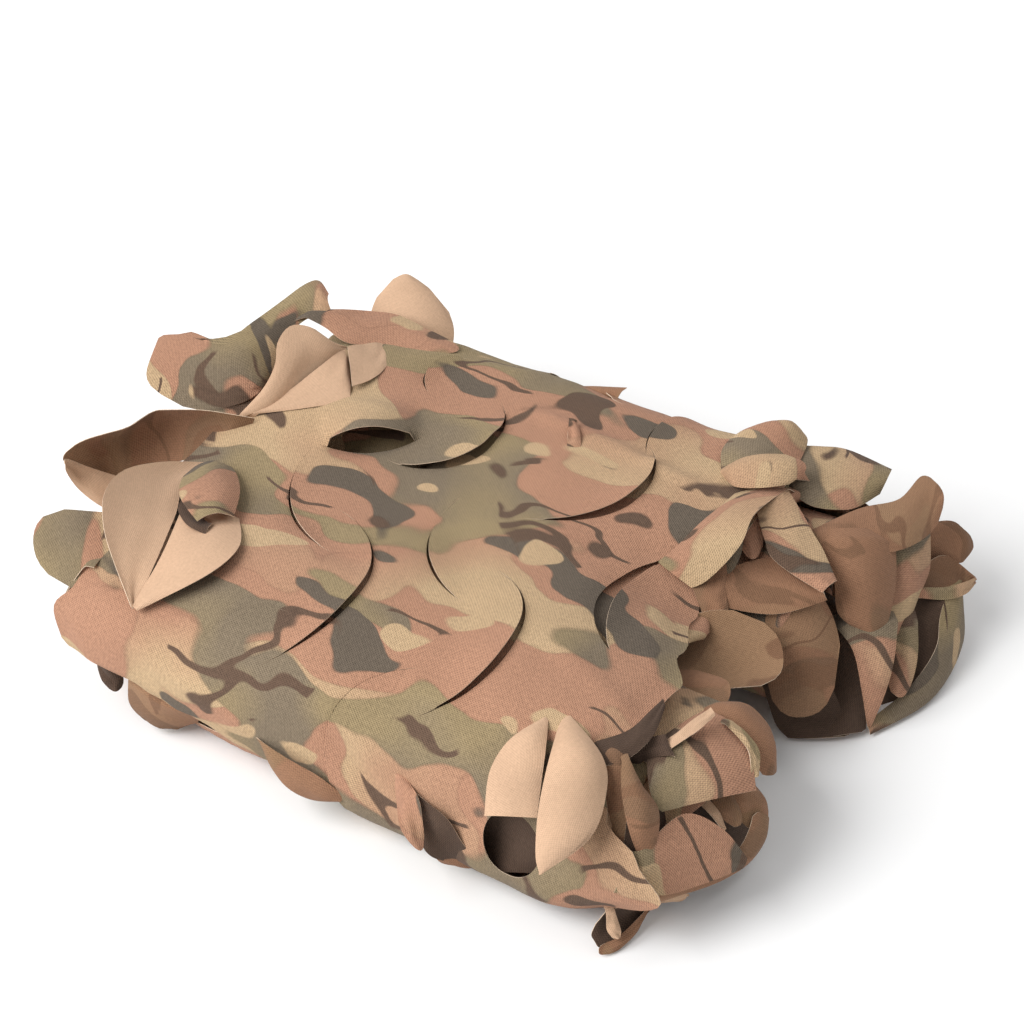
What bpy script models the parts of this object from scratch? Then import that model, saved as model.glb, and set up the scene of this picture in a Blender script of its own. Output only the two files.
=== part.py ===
"""Camouflage netting, folded for storage.

One sheet of leaf-cut cloth. Its two ends are rolled in towards each other, so the bundle is two soft flat
rolls side by side under the one sheet that spans both. Each thickness here stands for the plies of the
cloth's folded width. C-shaped cuts open the outer sheet, and its leaves stand out at both ends.
Metres, +Z up, X along the rolls, origin under the middle of the bundle.
"""

import math
from collections import namedtuple

import bmesh
import bpy
from mathutils import Vector
from mathutils.bvhtree import BVHTree
from mathutils.geometry import delaunay_2d_cdt

MM = 0.001

# The cloth, and the section of the bundle.
CLOTH = 2.4 * MM
FLOOR = CLOTH / 2
ROLL_OFFSET = 102 * MM
HALF_WIDTH = 96 * MM
HALF_HEIGHT = 66 * MM
PITCH_ACROSS = 24 * MM
PITCH_UP = 17.5 * MM
TURNS = 3
ROUNDNESS = 2.4
PRESSED_FLAT = 3 * MM
TOP_SAG = 5 * MM

# How the bundle has settled. The waves are in radians a metre.
SLUMP = 0.075
BROAD_LUMPS = 4.5 * MM
BROAD_WAVES = (13, 10)
FINE_LUMPS = 2.2 * MM
FINE_WAVES = (31, 17)
VALLEY_DEPTH = 36 * MM
VALLEY_MIDDLE = 10 * MM
VALLEY_WIDTH = 40 * MM
FRONT_DRAWN_IN = 12 * MM
BACK_PUSHED_OUT = 20 * MM
FRONT_SPLAY = 10 * MM
TOP_WANDER = 4 * MM
WANDER_WAVE = 15
BACK_LEFT_LIFT = 8 * MM

# How finely the solid follows the section and the length.
OUTER_STEP = 10
INNER_STEP = 20
SPAN_STEPS = 9
OUTER_REACH = 370 * MM
OUTER_STATIONS = 9
INNER_STATIONS = 5
ARC_STEPS = 7
LEAF_STEPS = 5
CLEAR_OF_CUT = 6 * MM

# The middle of the whole bundle, leaves and all, from the middle of its rolls.
MIDDLE = Vector((-31, 11, 0)) * MM

MID_HEIGHT = FLOOR + HALF_HEIGHT - PITCH_UP / 2 - PRESSED_FLAT
TOP = MID_HEIGHT + HALF_HEIGHT

# Where the sheet ends at the left and right: across from the middle line, and X, in mm.
Edge = namedtuple("Edge", "across x")
LEFT_EDGE = (
    Edge(-400, -232),
    Edge(-240, -222),
    Edge(-160, -234),
    Edge(0, -240),
    Edge(70, -218),
    Edge(160, -222),
    Edge(240, -236),
    Edge(400, -232),
)
RIGHT_EDGE = (
    Edge(-360, 212),
    Edge(-235, 240),
    Edge(-150, 198),
    Edge(-45, 166),
    Edge(60, 158),
    Edge(130, 200),
    Edge(220, 218),
    Edge(360, 206),
)
SCALLOP = 11 * MM
SCALLOP_LENGTH = 95 * MM
FLAP_EDGE = 0.3
FLAP_CURL = 1.5

# C-shaped cuts of the outer sheet in mm and degrees: the circle's middle, the side that it bulges to
# (0 is +X, 90 is the back), the swept angle, how wide it gapes and how high its leaf has lifted.
Cut = namedtuple("Cut", "x across radius towards sweep gap lift")
CUTS = (
    Cut(-60, 15, 98, -140, 80, 2, 3),
    Cut(-122, -118, 85, 12, 130, 3, 4),
    Cut(-74, -189, 44, 140, 110, 3, 3),
    Cut(50, -3, 87, -148, 92, 2, 3),
    Cut(12, -118, 71, 8, 136, 5, 5),
    Cut(-4, 79, 71, -17, 118, 5, 5),
    Cut(165, -10, 74, -164, 104, 11, 9),
    Cut(56, -215, 69, 172, 130, 2, 3),
    Cut(160, -232, 42, -160, 150, 24, 0),
    Cut(-150, 110, 62, -40, 110, 12, 9),
    Cut(-60, -275, 36, -60, 120, 5, 3),
    Cut(100, 150, 60, 160, 110, 3, 3),
    Cut(-110, 205, 60, 20, 120, 4, 5),
    Cut(20, 225, 62, 200, 120, 5, 5),
    Cut(140, 245, 58, 10, 120, 5, 6),
    Cut(-180, 285, 45, 150, 120, 4, 5),
)

# Leaves that stand out of the bundle, in mm and degrees: the root, the line from root to tip, the roll
# about that line, how far it twists and humps on the way, and how far its long edges stand off its
# middle.
Leaf = namedtuple("Leaf", "x y z heading climb length width roll twist hump cup shape")
LEAVES = (
    # Left end.
    Leaf(-232, -122, 70, 176, -11, 85, 60, -42, 0, 4, 4, "round"),
    Leaf(-208, -180, 68, 180, -20, 60, 68, -50, 0, 6, -5, "round"),
    Leaf(-135, -165, 30, -146, -17, 60, 44, 0, 0, 3, -3, "tongue"),
    Leaf(-204, -54, 128, -75, -6, 134, 90, -12, 0, 6, 12, "leaf"),
    Leaf(-226, -8, 118, -149, -13, 115, 66, -23, 0, -6, 8, "tongue"),
    Leaf(-230, 56, 112, 179, 0, 105, 58, -39, 0, 8, -6, "round"),
    Leaf(-262, 60, 114, 76, 13, 125, 24, 66, 25, -5, 0, "tongue"),
    Leaf(-168, 158, 120, -163, 5, 82, 32, -8, 0, 3, 0, "tongue"),
    Leaf(-157, 165, 116, 135, 21, 66, 60, 13, 0, 8, 4, "tongue"),
    Leaf(-186, 38, 123, 124, 13, 86, 67, 0, 0, 5, -4, "tongue"),
    Leaf(-172, 146, 124, -84, 2, 66, 46, -9, 0, 4, -3, "tongue"),
    Leaf(-224, 120, 60, 172, 8, 78, 60, 30, 0, 5, 4, "round"),
    Leaf(-230, 40, 40, 185, 5, 62, 56, -30, 0, 4, -4, "round"),
    # Top.
    Leaf(-48, 94, 122, -139, 1, 122, 58, 2, 0, 9, -3, "tongue"),
    # Front.
    Leaf(124, -150, 116, -83, -36, 70, 44, -19, 0, 5, -4, "leaf"),
    Leaf(136, -142, 120, -74, -44, 101, 68, 15, 0, 13, -6, "leaf"),
    Leaf(184, -201, 84, 16, -50, 74, 44, 78, 0, 7, -4, "leaf"),
    Leaf(-74, -186, 36, 0, -22, 66, 30, 45, 0, 5, -4, "leaf"),
    Leaf(215, -165, 24, -118, -10, 78, 30, 60, 0, 2, 12, "tongue"),
    # Right end of the front roll.
    Leaf(161, -23, 94, 43, -15, 70, 61, 19, 0, -4, 8, "round"),
    Leaf(202, -88, 106, -62, -12, 105, 62, 24, 0, 6, -6, "tongue"),
    Leaf(192, -130, 104, -60, -30, 90, 44, 60, 0, 6, -4, "leaf"),
    Leaf(226, -178, 82, 66, -28, 92, 66, -66, 0, 5, -6, "leaf"),
    Leaf(205, -62, 95, -30, -28, 60, 50, 74, 0, 6, 8, "tongue"),
    Leaf(226, -150, 34, 45, 8, 62, 52, 80, 0, 5, 6, "tongue"),
    # Right end of the back roll.
    Leaf(112, 133, 118, 49, 8, 62, 60, 11, 0, 9, -8, "tongue"),
    Leaf(154, 158, 123, 32, -9, 66, 40, 14, 0, 6, -5, "tongue"),
    Leaf(182, 122, 111, 46, -6, 98, 52, 23, 0, 6, 6, "tongue"),
    Leaf(154, 140, 124, -44, -20, 92, 48, 24, 0, 7, -6, "leaf"),
    Leaf(225, 112, 110, -58, -30, 76, 60, 42, 0, 8, -8, "tongue"),
    Leaf(244, 160, 98, -78, -14, 90, 44, 62, 0, 6, -3, "leaf"),
    Leaf(190, 68, 96, -38, -50, 96, 72, 4, 0, 8, -9, "round"),
    Leaf(236, 74, 78, -30, -76, 74, 64, -10, 0, 5, -6, "tongue"),
    Leaf(255, 90, 74, -100, -60, 70, 50, 76, 0, 5, -6, "leaf"),
    Leaf(244, 140, 70, 60, -50, 70, 40, -70, 0, 5, 5, "tongue"),
    Leaf(238, 165, 50, 100, -42, 66, 54, -50, 0, 5, -5, "round"),
    # Back.
    Leaf(-84, 188, 108, 4, 3, 84, 30, -30, 0, 3, 0, "leaf"),
    Leaf(-60, 205, 70, 60, -50, 60, 50, 10, 0, 6, -4, "round"),
    Leaf(70, 207, 60, 100, -40, 62, 54, -10, 0, 6, -4, "round"),
)
ROOT_WIDTH = 0.10
LEAF_FULLEST = 0.75
ROUND_FULLEST = 0.52
ROUND_START = 0.62
TONGUE_FULLEST = 0.55


def smooth(low, high, value):
    """0 at low, 1 at high and an even S between them."""
    share = min(max((value - low) / (high - low), 0.0), 1.0)
    return share * share * (3 - 2 * share)


def drawn_out(share):
    """A sine or cosine drawn out towards the corners of a flattened roll."""
    return math.copysign(abs(share) ** (2 / ROUNDNESS), share)


def wound(side, degrees):
    """Section point (y, z) of a roll. Side -1 is the front roll, +1 the back one. 0 degrees is its top."""
    turns = degrees / 360
    angle = math.radians(degrees)
    y = ROLL_OFFSET + (HALF_WIDTH - PITCH_ACROSS * turns) * drawn_out(math.sin(angle))
    z = MID_HEIGHT + (HALF_HEIGHT - PITCH_UP * turns) * drawn_out(math.cos(angle))
    return side * y, max(z, FLOOR)


def spanning(y):
    """Section point (y, z) of the sheet between the tops of the two rolls."""
    return y, TOP - TOP_SAG * math.cos(math.pi * y / (2 * ROLL_OFFSET)) ** 2


def lay(x, y, z):
    """The bundle as it lies: slumped, splayed, lumpy, slack between its rolls, and level underneath."""
    share = (z - FLOOR) / (TOP - FLOOR)
    right = smooth(-0.05, 0.25, x)
    front = smooth(0.03, -0.12, y)
    back_left = smooth(-0.02, -0.26, x) * smooth(-0.06, 0.10, y)
    broad = math.sin(BROAD_WAVES[0] * x + 1.1) * math.cos(BROAD_WAVES[1] * y + 0.4)
    fine = math.sin(FINE_WAVES[0] * x + FINE_WAVES[1] * y)
    trough = smooth(0.02, 0.25, x) * math.exp(-(((y - VALLEY_MIDDLE) / VALLEY_WIDTH) ** 2))
    along = BACK_PUSHED_OUT * (1 - front) - FRONT_DRAWN_IN * front
    across = SLUMP * (1 - share) ** 2 * y + TOP_WANDER * math.sin(WANDER_WAVE * x) * share
    lift = BROAD_LUMPS * broad + FINE_LUMPS * fine + BACK_LEFT_LIFT * back_left - VALLEY_DEPTH * trough
    return Vector((x + along * right, y + across - FRONT_SPLAY * front * right, z + share * lift))


class Section:
    """The strip's section as a line to walk along, from the heart of the front roll to the back roll's."""

    def __init__(self):
        wind = list(range(0, 360, OUTER_STEP)) + list(range(360, 360 * TURNS + 1, INNER_STEP))
        span = [spanning(ROLL_OFFSET * (2 * k / SPAN_STEPS - 1)) for k in range(1, SPAN_STEPS)]
        self.line = [wound(-1, d) for d in reversed(wind)] + span + [wound(1, d) for d in wind]
        walked = [0.0]
        for (y0, z0), (y1, z1) in zip(self.line, self.line[1:]):
            walked.append(walked[-1] + math.hypot(y1 - y0, z1 - z0))
        self.across = [length - walked[-1] / 2 for length in walked]

    def at(self, across):
        """The point (y, z) at a length across from the middle line, and the outward normal there."""
        high = 1
        while high < len(self.across) - 1 and self.across[high] < across:
            high += 1
        (y0, z0), (y1, z1) = self.line[high - 1], self.line[high]
        span = self.across[high] - self.across[high - 1]
        share = (across - self.across[high - 1]) / span
        return (y0 + (y1 - y0) * share, z0 + (z1 - z0) * share), ((z0 - z1) / span, (y1 - y0) / span)


SECTION = Section()


def edge_x(edge, across):
    """X of an end of the sheet, with its scalloped outline."""
    before, after = edge[0], edge[1]
    for before, after in zip(edge, edge[1:]):
        if across <= after.across * MM:
            break
    share = smooth(before.across * MM, after.across * MM, across)
    x = (before.x + (after.x - before.x) * share) * MM
    scallop = SCALLOP * (abs(math.sin(math.pi * across / SCALLOP_LENGTH)) - 0.5)
    return x + math.copysign(scallop, x)


def flap_rise(x, across):
    """How far a cut leaf has lifted off the sheet at a flat point."""
    rise = 0.0
    for cut in CUTS:
        reach = Vector((x - cut.x * MM, across - cut.across * MM))
        angle = math.radians(cut.towards)
        hinge = cut.radius * MM * math.cos(math.radians(cut.sweep / 2))
        depth = reach.x * math.cos(angle) + reach.y * math.sin(angle) - hinge
        if depth > 0 and reach.length < (cut.radius - cut.gap * FLAP_EDGE) * MM:
            rise = max(rise, cut.lift * MM * (depth / (cut.radius * MM - hinge)) ** FLAP_CURL)
    return rise


def folded(across, x):
    """The place on the laid cloth of a flat point: across from the middle line, x along it."""
    (y, z), (out_y, out_z) = SECTION.at(across)
    rise = flap_rise(x, across)
    return lay(x, y + out_y * rise, max(z + out_z * rise, FLOOR))


def crescent(cut):
    """The flat outline of a cut: its arc, and a flatter arc back that leaves the gap between them."""
    points = []
    half = cut.sweep / 2
    for step in range(2 * ARC_STEPS):
        turn = step / ARC_STEPS
        outer = turn <= 1
        share = 2 * turn - 1 if outer else 3 - 2 * turn
        radius = cut.radius if outer else cut.radius - cut.gap * math.cos(math.pi / 2 * share)
        angle = math.radians(cut.towards + half * share)
        points.append(
            Vector((cut.across + radius * math.sin(angle), cut.x + radius * math.cos(angle))) * MM
        )
    return points


def inside(point, loop):
    """Whether a flat point is inside a loop of points."""
    odd = False
    for a, b in zip(loop, loop[1:] + loop[:1]):
        if (a.y > point.y) != (b.y > point.y):
            if point.x < a.x + (b.x - a.x) * (point.y - a.y) / (b.y - a.y):
                odd = not odd
    return odd


def flat_sheet():
    """The cut sheet laid flat: points (across, x) and the triangles between them."""
    loops = [crescent(cut) for cut in CUTS]
    cut_points = [point for loop in loops for point in loop]
    points, edges = [], []
    for loop in loops:
        first = len(points)
        points += loop
        edges += [(first + k, first + (k + 1) % len(loop)) for k in range(len(loop))]
    ends = []
    for across in SECTION.across:
        left, right = edge_x(LEFT_EDGE, across), edge_x(RIGHT_EDGE, across)
        stations = OUTER_STATIONS if abs(across) < OUTER_REACH else INNER_STATIONS
        row = []
        for k in range(stations):
            point = Vector((across, left + (right - left) * k / (stations - 1)))
            end = k in (0, stations - 1)
            if end or min((point - other).length for other in cut_points) > CLEAR_OF_CUT:
                row.append(point)
        ends.append((len(points), len(points) + len(row) - 1))
        points += row
    for (left0, right0), (left1, right1) in zip(ends, ends[1:]):
        edges += [(left0, left1), (right0, right1)]
    edges += [ends[0], ends[-1]]
    flat, _, faces, *_ = delaunay_2d_cdt(points, edges, [], 1, 1e-7)
    kept = []
    for face in faces:
        middle = sum((flat[k] for k in face), Vector((0, 0))) / len(face)
        if not any(inside(middle, loop) for loop in loops):
            kept.append(face)
    return flat, kept


def cloth_material():
    """Printed cloth: brown, matt."""
    material = bpy.data.materials.new("camouflage cloth")
    material.use_nodes = True
    principled = material.node_tree.nodes["Principled BSDF"]
    principled.inputs["Base Color"].default_value = (0.33, 0.22, 0.15, 1)
    principled.inputs["Roughness"].default_value = 0.9
    principled.inputs["Metallic"].default_value = 0
    return material


def add_object(name, mesh, collection):
    """A new object in a collection."""
    thing = bpy.data.objects.new(name, mesh)
    collection.objects.link(thing)
    return thing


def thicken(thing):
    """Cloth thickness, half to each side."""
    solidify = thing.modifiers.new("Cloth thickness", "SOLIDIFY")
    solidify.thickness = CLOTH
    solidify.offset = 0


def sheet_mesh():
    """The folded sheet as a surface."""
    flat, faces = flat_sheet()
    mesh = bpy.data.meshes.new("netting")
    mesh.from_pydata([folded(point.x, point.y) for point in flat], [], faces)
    form = bmesh.new()
    form.from_mesh(mesh)
    loose = [vert for vert in form.verts if not vert.link_faces]
    bmesh.ops.delete(form, geom=loose, context="VERTS")
    bmesh.ops.recalc_face_normals(form, faces=form.faces)
    form.to_mesh(mesh)
    form.free()
    return mesh


def half_width(leaf, share):
    """Half the width of a leaf at a share of its length."""
    half = leaf.width / 2
    if leaf.shape == "leaf":
        return half * math.sin(math.pi * (ROOT_WIDTH + (1 - ROOT_WIDTH) * share)) ** LEAF_FULLEST
    if leaf.shape == "round":
        reach = ROUND_START if share < ROUND_FULLEST else 1 - ROUND_FULLEST
        return half * math.sqrt(max(1 - ((share - ROUND_FULLEST) / reach) ** 2, 0))
    past = max(share - TONGUE_FULLEST, 0) / (1 - TONGUE_FULLEST)
    return half * math.sqrt(max(1 - past**2, 0))


def leaf_point(leaf, share, side):
    """A point of a leaf in mm: share runs from root to tip, side from -1 to 1 across."""
    heading, climb = math.radians(leaf.heading), math.radians(leaf.climb)
    roll = math.radians(leaf.roll + leaf.twist * share)
    along = Vector(
        (math.cos(heading) * math.cos(climb), math.sin(heading) * math.cos(climb), math.sin(climb))
    )
    level = Vector((-math.sin(heading), math.cos(heading), 0))
    upward = along.cross(level)
    across = level * math.cos(roll) + upward * math.sin(roll)
    out = upward * math.cos(roll) - level * math.sin(roll)
    half = half_width(leaf, share)
    stand = 4 * leaf.hump * share * (1 - share) + leaf.cup * (side * 2 * half / leaf.width) ** 2
    root = Vector((leaf.x, leaf.y, leaf.z))
    return root + along * leaf.length * share + across * side * half + out * stand


def leaf_mesh(leaf, cloth):
    """A leaf as a surface, its root drawn onto the nearest cloth."""
    root = Vector((leaf.x, leaf.y, leaf.z)) * MM
    seat = cloth.find_nearest(root)[0] - root
    form = bmesh.new()
    bmesh.ops.create_grid(form, x_segments=LEAF_STEPS, y_segments=2, size=1)
    for vert in form.verts:
        share = (vert.co.x + 1) / 2
        place = leaf_point(leaf, share, vert.co.y) * MM + seat * (1 - share) ** 2
        place.z = max(place.z, FLOOR)
        vert.co = place
    bmesh.ops.remove_doubles(form, verts=form.verts, dist=0.0001)
    mesh = bpy.data.meshes.new("leaf")
    form.to_mesh(mesh)
    form.free()
    return mesh


def main():
    """Build the netting."""
    for thing in list(bpy.data.objects):
        bpy.data.objects.remove(thing)
    parts = bpy.data.collections.new("camouflage netting")
    joined = bpy.data.collections.new("leaves joined to the netting")
    bpy.context.scene.collection.children.link(parts)
    bpy.context.scene.collection.children.link(joined)

    netting = add_object("netting", sheet_mesh(), parts)
    netting.location = -MIDDLE
    netting.data.materials.append(cloth_material())
    cloth = BVHTree.FromPolygons(
        [vert.co for vert in netting.data.vertices], [face.vertices for face in netting.data.polygons]
    )
    thicken(netting)
    for leaf in LEAVES:
        thing = add_object("leaf", leaf_mesh(leaf, cloth), joined)
        thing.location = -MIDDLE
        thing.hide_render = True
        thing.display_type = "WIRE"
        thicken(thing)
    union = netting.modifiers.new("Leaves", "BOOLEAN")
    union.operation = "UNION"
    union.operand_type = "COLLECTION"
    union.collection = joined
    union.solver = "EXACT"


main()
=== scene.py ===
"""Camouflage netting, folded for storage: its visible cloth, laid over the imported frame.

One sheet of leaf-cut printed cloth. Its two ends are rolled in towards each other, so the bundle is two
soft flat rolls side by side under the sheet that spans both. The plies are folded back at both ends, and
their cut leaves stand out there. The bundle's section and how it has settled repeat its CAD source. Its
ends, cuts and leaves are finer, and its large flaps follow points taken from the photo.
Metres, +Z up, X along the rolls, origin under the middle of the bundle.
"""

import math
import random
from bisect import bisect_left
from collections import namedtuple

import bmesh
import bpy
from mathutils import Matrix, Vector, noise
from mathutils.bvhtree import BVHTree
from mathutils.geometry import delaunay_2d_cdt


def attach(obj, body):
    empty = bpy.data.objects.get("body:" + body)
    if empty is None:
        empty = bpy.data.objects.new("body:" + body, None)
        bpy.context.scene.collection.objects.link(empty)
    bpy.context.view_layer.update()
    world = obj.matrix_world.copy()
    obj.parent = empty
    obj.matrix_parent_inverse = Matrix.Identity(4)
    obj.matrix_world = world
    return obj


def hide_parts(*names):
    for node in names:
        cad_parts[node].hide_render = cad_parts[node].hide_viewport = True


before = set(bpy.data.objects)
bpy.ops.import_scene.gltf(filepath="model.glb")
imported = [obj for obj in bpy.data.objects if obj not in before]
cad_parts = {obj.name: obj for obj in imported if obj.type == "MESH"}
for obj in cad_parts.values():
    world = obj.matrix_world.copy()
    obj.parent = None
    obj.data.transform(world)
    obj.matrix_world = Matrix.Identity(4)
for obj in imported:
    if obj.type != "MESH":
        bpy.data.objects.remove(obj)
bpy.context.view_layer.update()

bl_info = {
    "name": "Folded camouflage netting",
    "version": (1, 0, 0),
    "blender": (4, 5, 0),
    "location": "3D View > Sidebar > Netting",
    "description": "Builds the cloth of a folded leaf-cut camouflage netting",
    "category": "Object",
}

MM = 0.001

# The bundle's section, as in the CAD source.
CAD_CLOTH = 2.4 * MM
FLOOR = CAD_CLOTH / 2
ROLL_OFFSET = 102 * MM
HALF_WIDTH = 96 * MM
HALF_HEIGHT = 66 * MM
PITCH_ACROSS = 24 * MM
PITCH_UP = 17.5 * MM
TURNS = 3
ROUNDNESS = 2.4
PRESSED_FLAT = 3 * MM
TOP_SAG = 5 * MM

# How the bundle has settled, as in the CAD source. The waves are in radians a metre.
SLUMP = 0.075
BROAD_LUMPS = 4.5 * MM
BROAD_WAVES = (13, 10)
BROAD_PHASES = (1.1, 0.4)
FINE_LUMPS = 2.2 * MM
FINE_WAVES = (31, 17)
VALLEY_DEPTH = 36 * MM
VALLEY_MIDDLE = 10 * MM
VALLEY_WIDTH = 40 * MM
VALLEY_START = (20 * MM, 250 * MM)
FRONT_DRAWN_IN = 12 * MM
BACK_PUSHED_OUT = 20 * MM
FRONT_SPLAY = 10 * MM
TOP_WANDER = 4 * MM
WANDER_WAVE = 15
BACK_LEFT_LIFT = 8 * MM

# From where to where a change comes in towards the right, the front, and the back and left.
TO_RIGHT = (-50 * MM, 250 * MM)
TO_FRONT = (30 * MM, -120 * MM)
TO_LEFT = (-20 * MM, -260 * MM)
TO_BACK = (-60 * MM, 100 * MM)

MIDDLE = Vector((-31, 11, 0)) * MM
MID_HEIGHT = FLOOR + HALF_HEIGHT - PITCH_UP / 2 - PRESSED_FLAT
TOP = MID_HEIGHT + HALF_HEIGHT

# How finely the section is walked, in degrees and in steps.
OUTER_STEP = 2
INNER_STEP = 5
SPAN_STEPS = 40

# Where the sheet ends at the left and right: across from the middle line, and X, in mm.
Edge = namedtuple("Edge", "across x")


def end_line(*places):
    """An end of the sheet as the places that it passes, front to back."""
    return tuple(Edge(*place) for place in places)


LEFT_EDGE = end_line(
    (-480, -234), (-400, -200), (-262, -166), (-236, -176), (-200, -212), (-160, -228), (0, -236),
    (70, -218), (160, -222), (240, -236), (400, -232),
)
RIGHT_EDGE = end_line(
    (-360, 204), (-235, 216), (-150, 186), (-45, 156), (60, 140), (130, 146), (220, 176), (360, 182),
)
SCALLOP = 11 * MM
SCALLOP_LENGTH = 95 * MM

# Where the outer sheet itself ends, in the same terms. Then how far and how long its ends droop, and how far
# the plies stop short of theirs.
SHEET_LEFT = end_line(
    (-400, -200), (-300, -180), (-262, -104), (-248, -122), (-240, -160), (-231, -232), (-205, -240),
    (-182, -228), (-160, -222), (-120, -238), (-40, -236), (0, -238), (40, -222), (80, -214), (150, -200),
    (190, -214), (240, -232), (400, -228),
)
SHEET_RIGHT = end_line(
    (-400, 212), (-300, 208), (-264, 208), (-228, 247), (-203, 226), (-190, 200), (-150, 178),
    (-116, 192), (-75, 188), (-46, 164), (0, 141), (30, 131), (75, 138), (143, 140), (175, 172),
    (230, 205), (400, 206),
)
SHEET_DROOP = 4 * MM
DROOP_LENGTH = 26 * MM
PLY_INSET = 7 * MM

# C-shaped cuts in mm and degrees: the circle's middle, the side that it bulges to (0 is +X, 90 is the
# back), the swept angle, how wide it gapes, how high its leaf has lifted and which end lifts more. Where
# the cloth arches up behind a cut, the last value says how far back.
Cut = namedtuple("Cut", "x across radius towards sweep gap lift lean arch", defaults=(0,))
CUTS = (
    Cut(-60, 15, 98, -140, 80, 1.4, 3, 0.3),
    Cut(-122, -118, 85, 12, 130, 1.6, 4, -0.5),
    Cut(-74, -189, 44, 140, 110, 1.6, 3, 0),
    Cut(50, -3, 87, -148, 92, 1.4, 3, 0),
    Cut(12, -118, 71, 8, 136, 2.4, 5, -0.7),
    Cut(-4, 79, 71, -17, 118, 2.6, 6, 0.6),
    Cut(165, -10, 74, -164, 104, 11, 9, 0),
    Cut(56, -215, 69, 172, 130, 1.6, 3, 0.2),
    Cut(-172, 106, 88, -54, 50, 2.2, 19, 0, 60),
    Cut(-97, 82, 52, -24, 150, 2, 7, 0),
    Cut(-106, 134, 27, 175, 140, 2, 5, 0),
    Cut(-60, -275, 36, -60, 120, 5, 3, 0),
    Cut(100, 150, 60, 160, 110, 1.8, 3, 0),
    Cut(-110, 205, 60, 20, 120, 3, 4, 0),
    Cut(20, 225, 62, 200, 120, 4, 5, 0),
    Cut(140, 245, 58, 10, 120, 4, 6, 0),
    Cut(-180, 285, 45, 150, 120, 3, 4, 0),
)
# Round openings of the outer sheet in mm: the middle and the half sizes along and across.
Hole = namedtuple("Hole", "x across along wide")
HOLES = (Hole(139, -231, 22, 21),)
# Where the ply under an opening or a raised cut has sunk, in mm: the middle, how far out and how deep.
Hollow = namedtuple("Hollow", "x across reach deep")
HOLLOWS = (
    Hollow(139, -231, 46, 17),
    Hollow(-126, 46, 52, 20),
)
# Where in the gap of a cut its leaf ends, how the leaf curves up to there, and how much of that height, and
# how far out, the cloth outside the cut sinks.
FLAP_EDGE = 0.3
FLAP_CURL = 1.5
RIM_SINK = 0.25
RIM_WIDTH = 14 * MM

# Soft creases in the outer sheet, in mm: from and to (x, across), width, and height above the cloth.
Crease = namedtuple("Crease", "x0 across0 x1 across1 width height")
CREASES = (
    Crease(-170, 60, -20, 86, 14, 2.5),
    Crease(-60, 128, 120, 96, 10, 3.0),
    Crease(-150, -40, -30, -96, 22, -2.2),
    Crease(20, -150, 110, -190, 16, 2.4),
    Crease(-20, -205, 60, -262, 14, -2.6),
    Crease(-190, -190, -60, -238, 16, 2.2),
    Crease(80, 20, 150, 70, 14, -2.4),
    Crease(90, -90, 190, -120, 14, 2.2),
    Crease(-90, 40, 20, -20, 26, 1.8),
    Crease(-200, 150, -60, 180, 16, -2.5),
    Crease(-120, 240, 60, 262, 18, 3.0),
    Crease(60, 190, 190, 240, 15, -3.0),
    Crease(-215, 180, 190, 180, 60, 15),
    Crease(-40, -262, 215, -262, 36, 9),
)
# The share of a crease over which each end fades, its reach sideways in widths, and how steeply it falls.
CREASE_FADE = 0.22
CREASE_REACH = 2
CREASE_FALL = 2.5
# The unevenness of all the cloth. The waves are a metre's.
PUCKER = 1.1 * MM
PUCKER_WAVE = 24
FINE_PUCKER = 0.35 * MM
FINE_PUCKER_WAVE = 70

# The outer sheet: how far it reaches across to each side, its flat length along the rolls, its mesh, and how
# far that keeps off the cuts, in metres, and off their tips, in degrees.
SHEET_REACH = 400 * MM
SHEET_STEP = 4.6 * MM
CLEAR_OF_CUT = 2.2 * MM
CLEAR_OF_TIP = 3
ARC_STEP = 2.8 * MM
ARC_LEAST_STEPS = 8
HOLE_STEPS = 48
SAME_POINT = 1e-7

# The plies: how their ends are folded round and back, their mesh, their flat length between the folds, and
# how deep the one under the sheet and the inner turns lie.
FOLD_RADIUS = 4 * MM
FOLDED_BACK = 42 * MM
PLY_STEP = 7 * MM
PLY_STATIONS = 64
TURN_STEPS = 6
BACK_STEPS = 5
EDGE_STEPS = 8
EDGE_STEP = 3 * MM
UNDER_PLY_DEPTH = 6.5 * MM
UNDER_PLY_SHORT = 4 * MM
TURNS_DEPTH = 0.5 * MM

# Cloth edges sharper than this, in degrees, are shaded as edges.
CUT_RIM_ANGLE = 50

# The surfaces that leaves are seated on and heights are measured over: their steps and their reach.
SEAT_STEP = 10 * MM
SURFACE_STEPS = (220, 150)
SURFACE_REACH = (450 * MM, 320 * MM)

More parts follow.
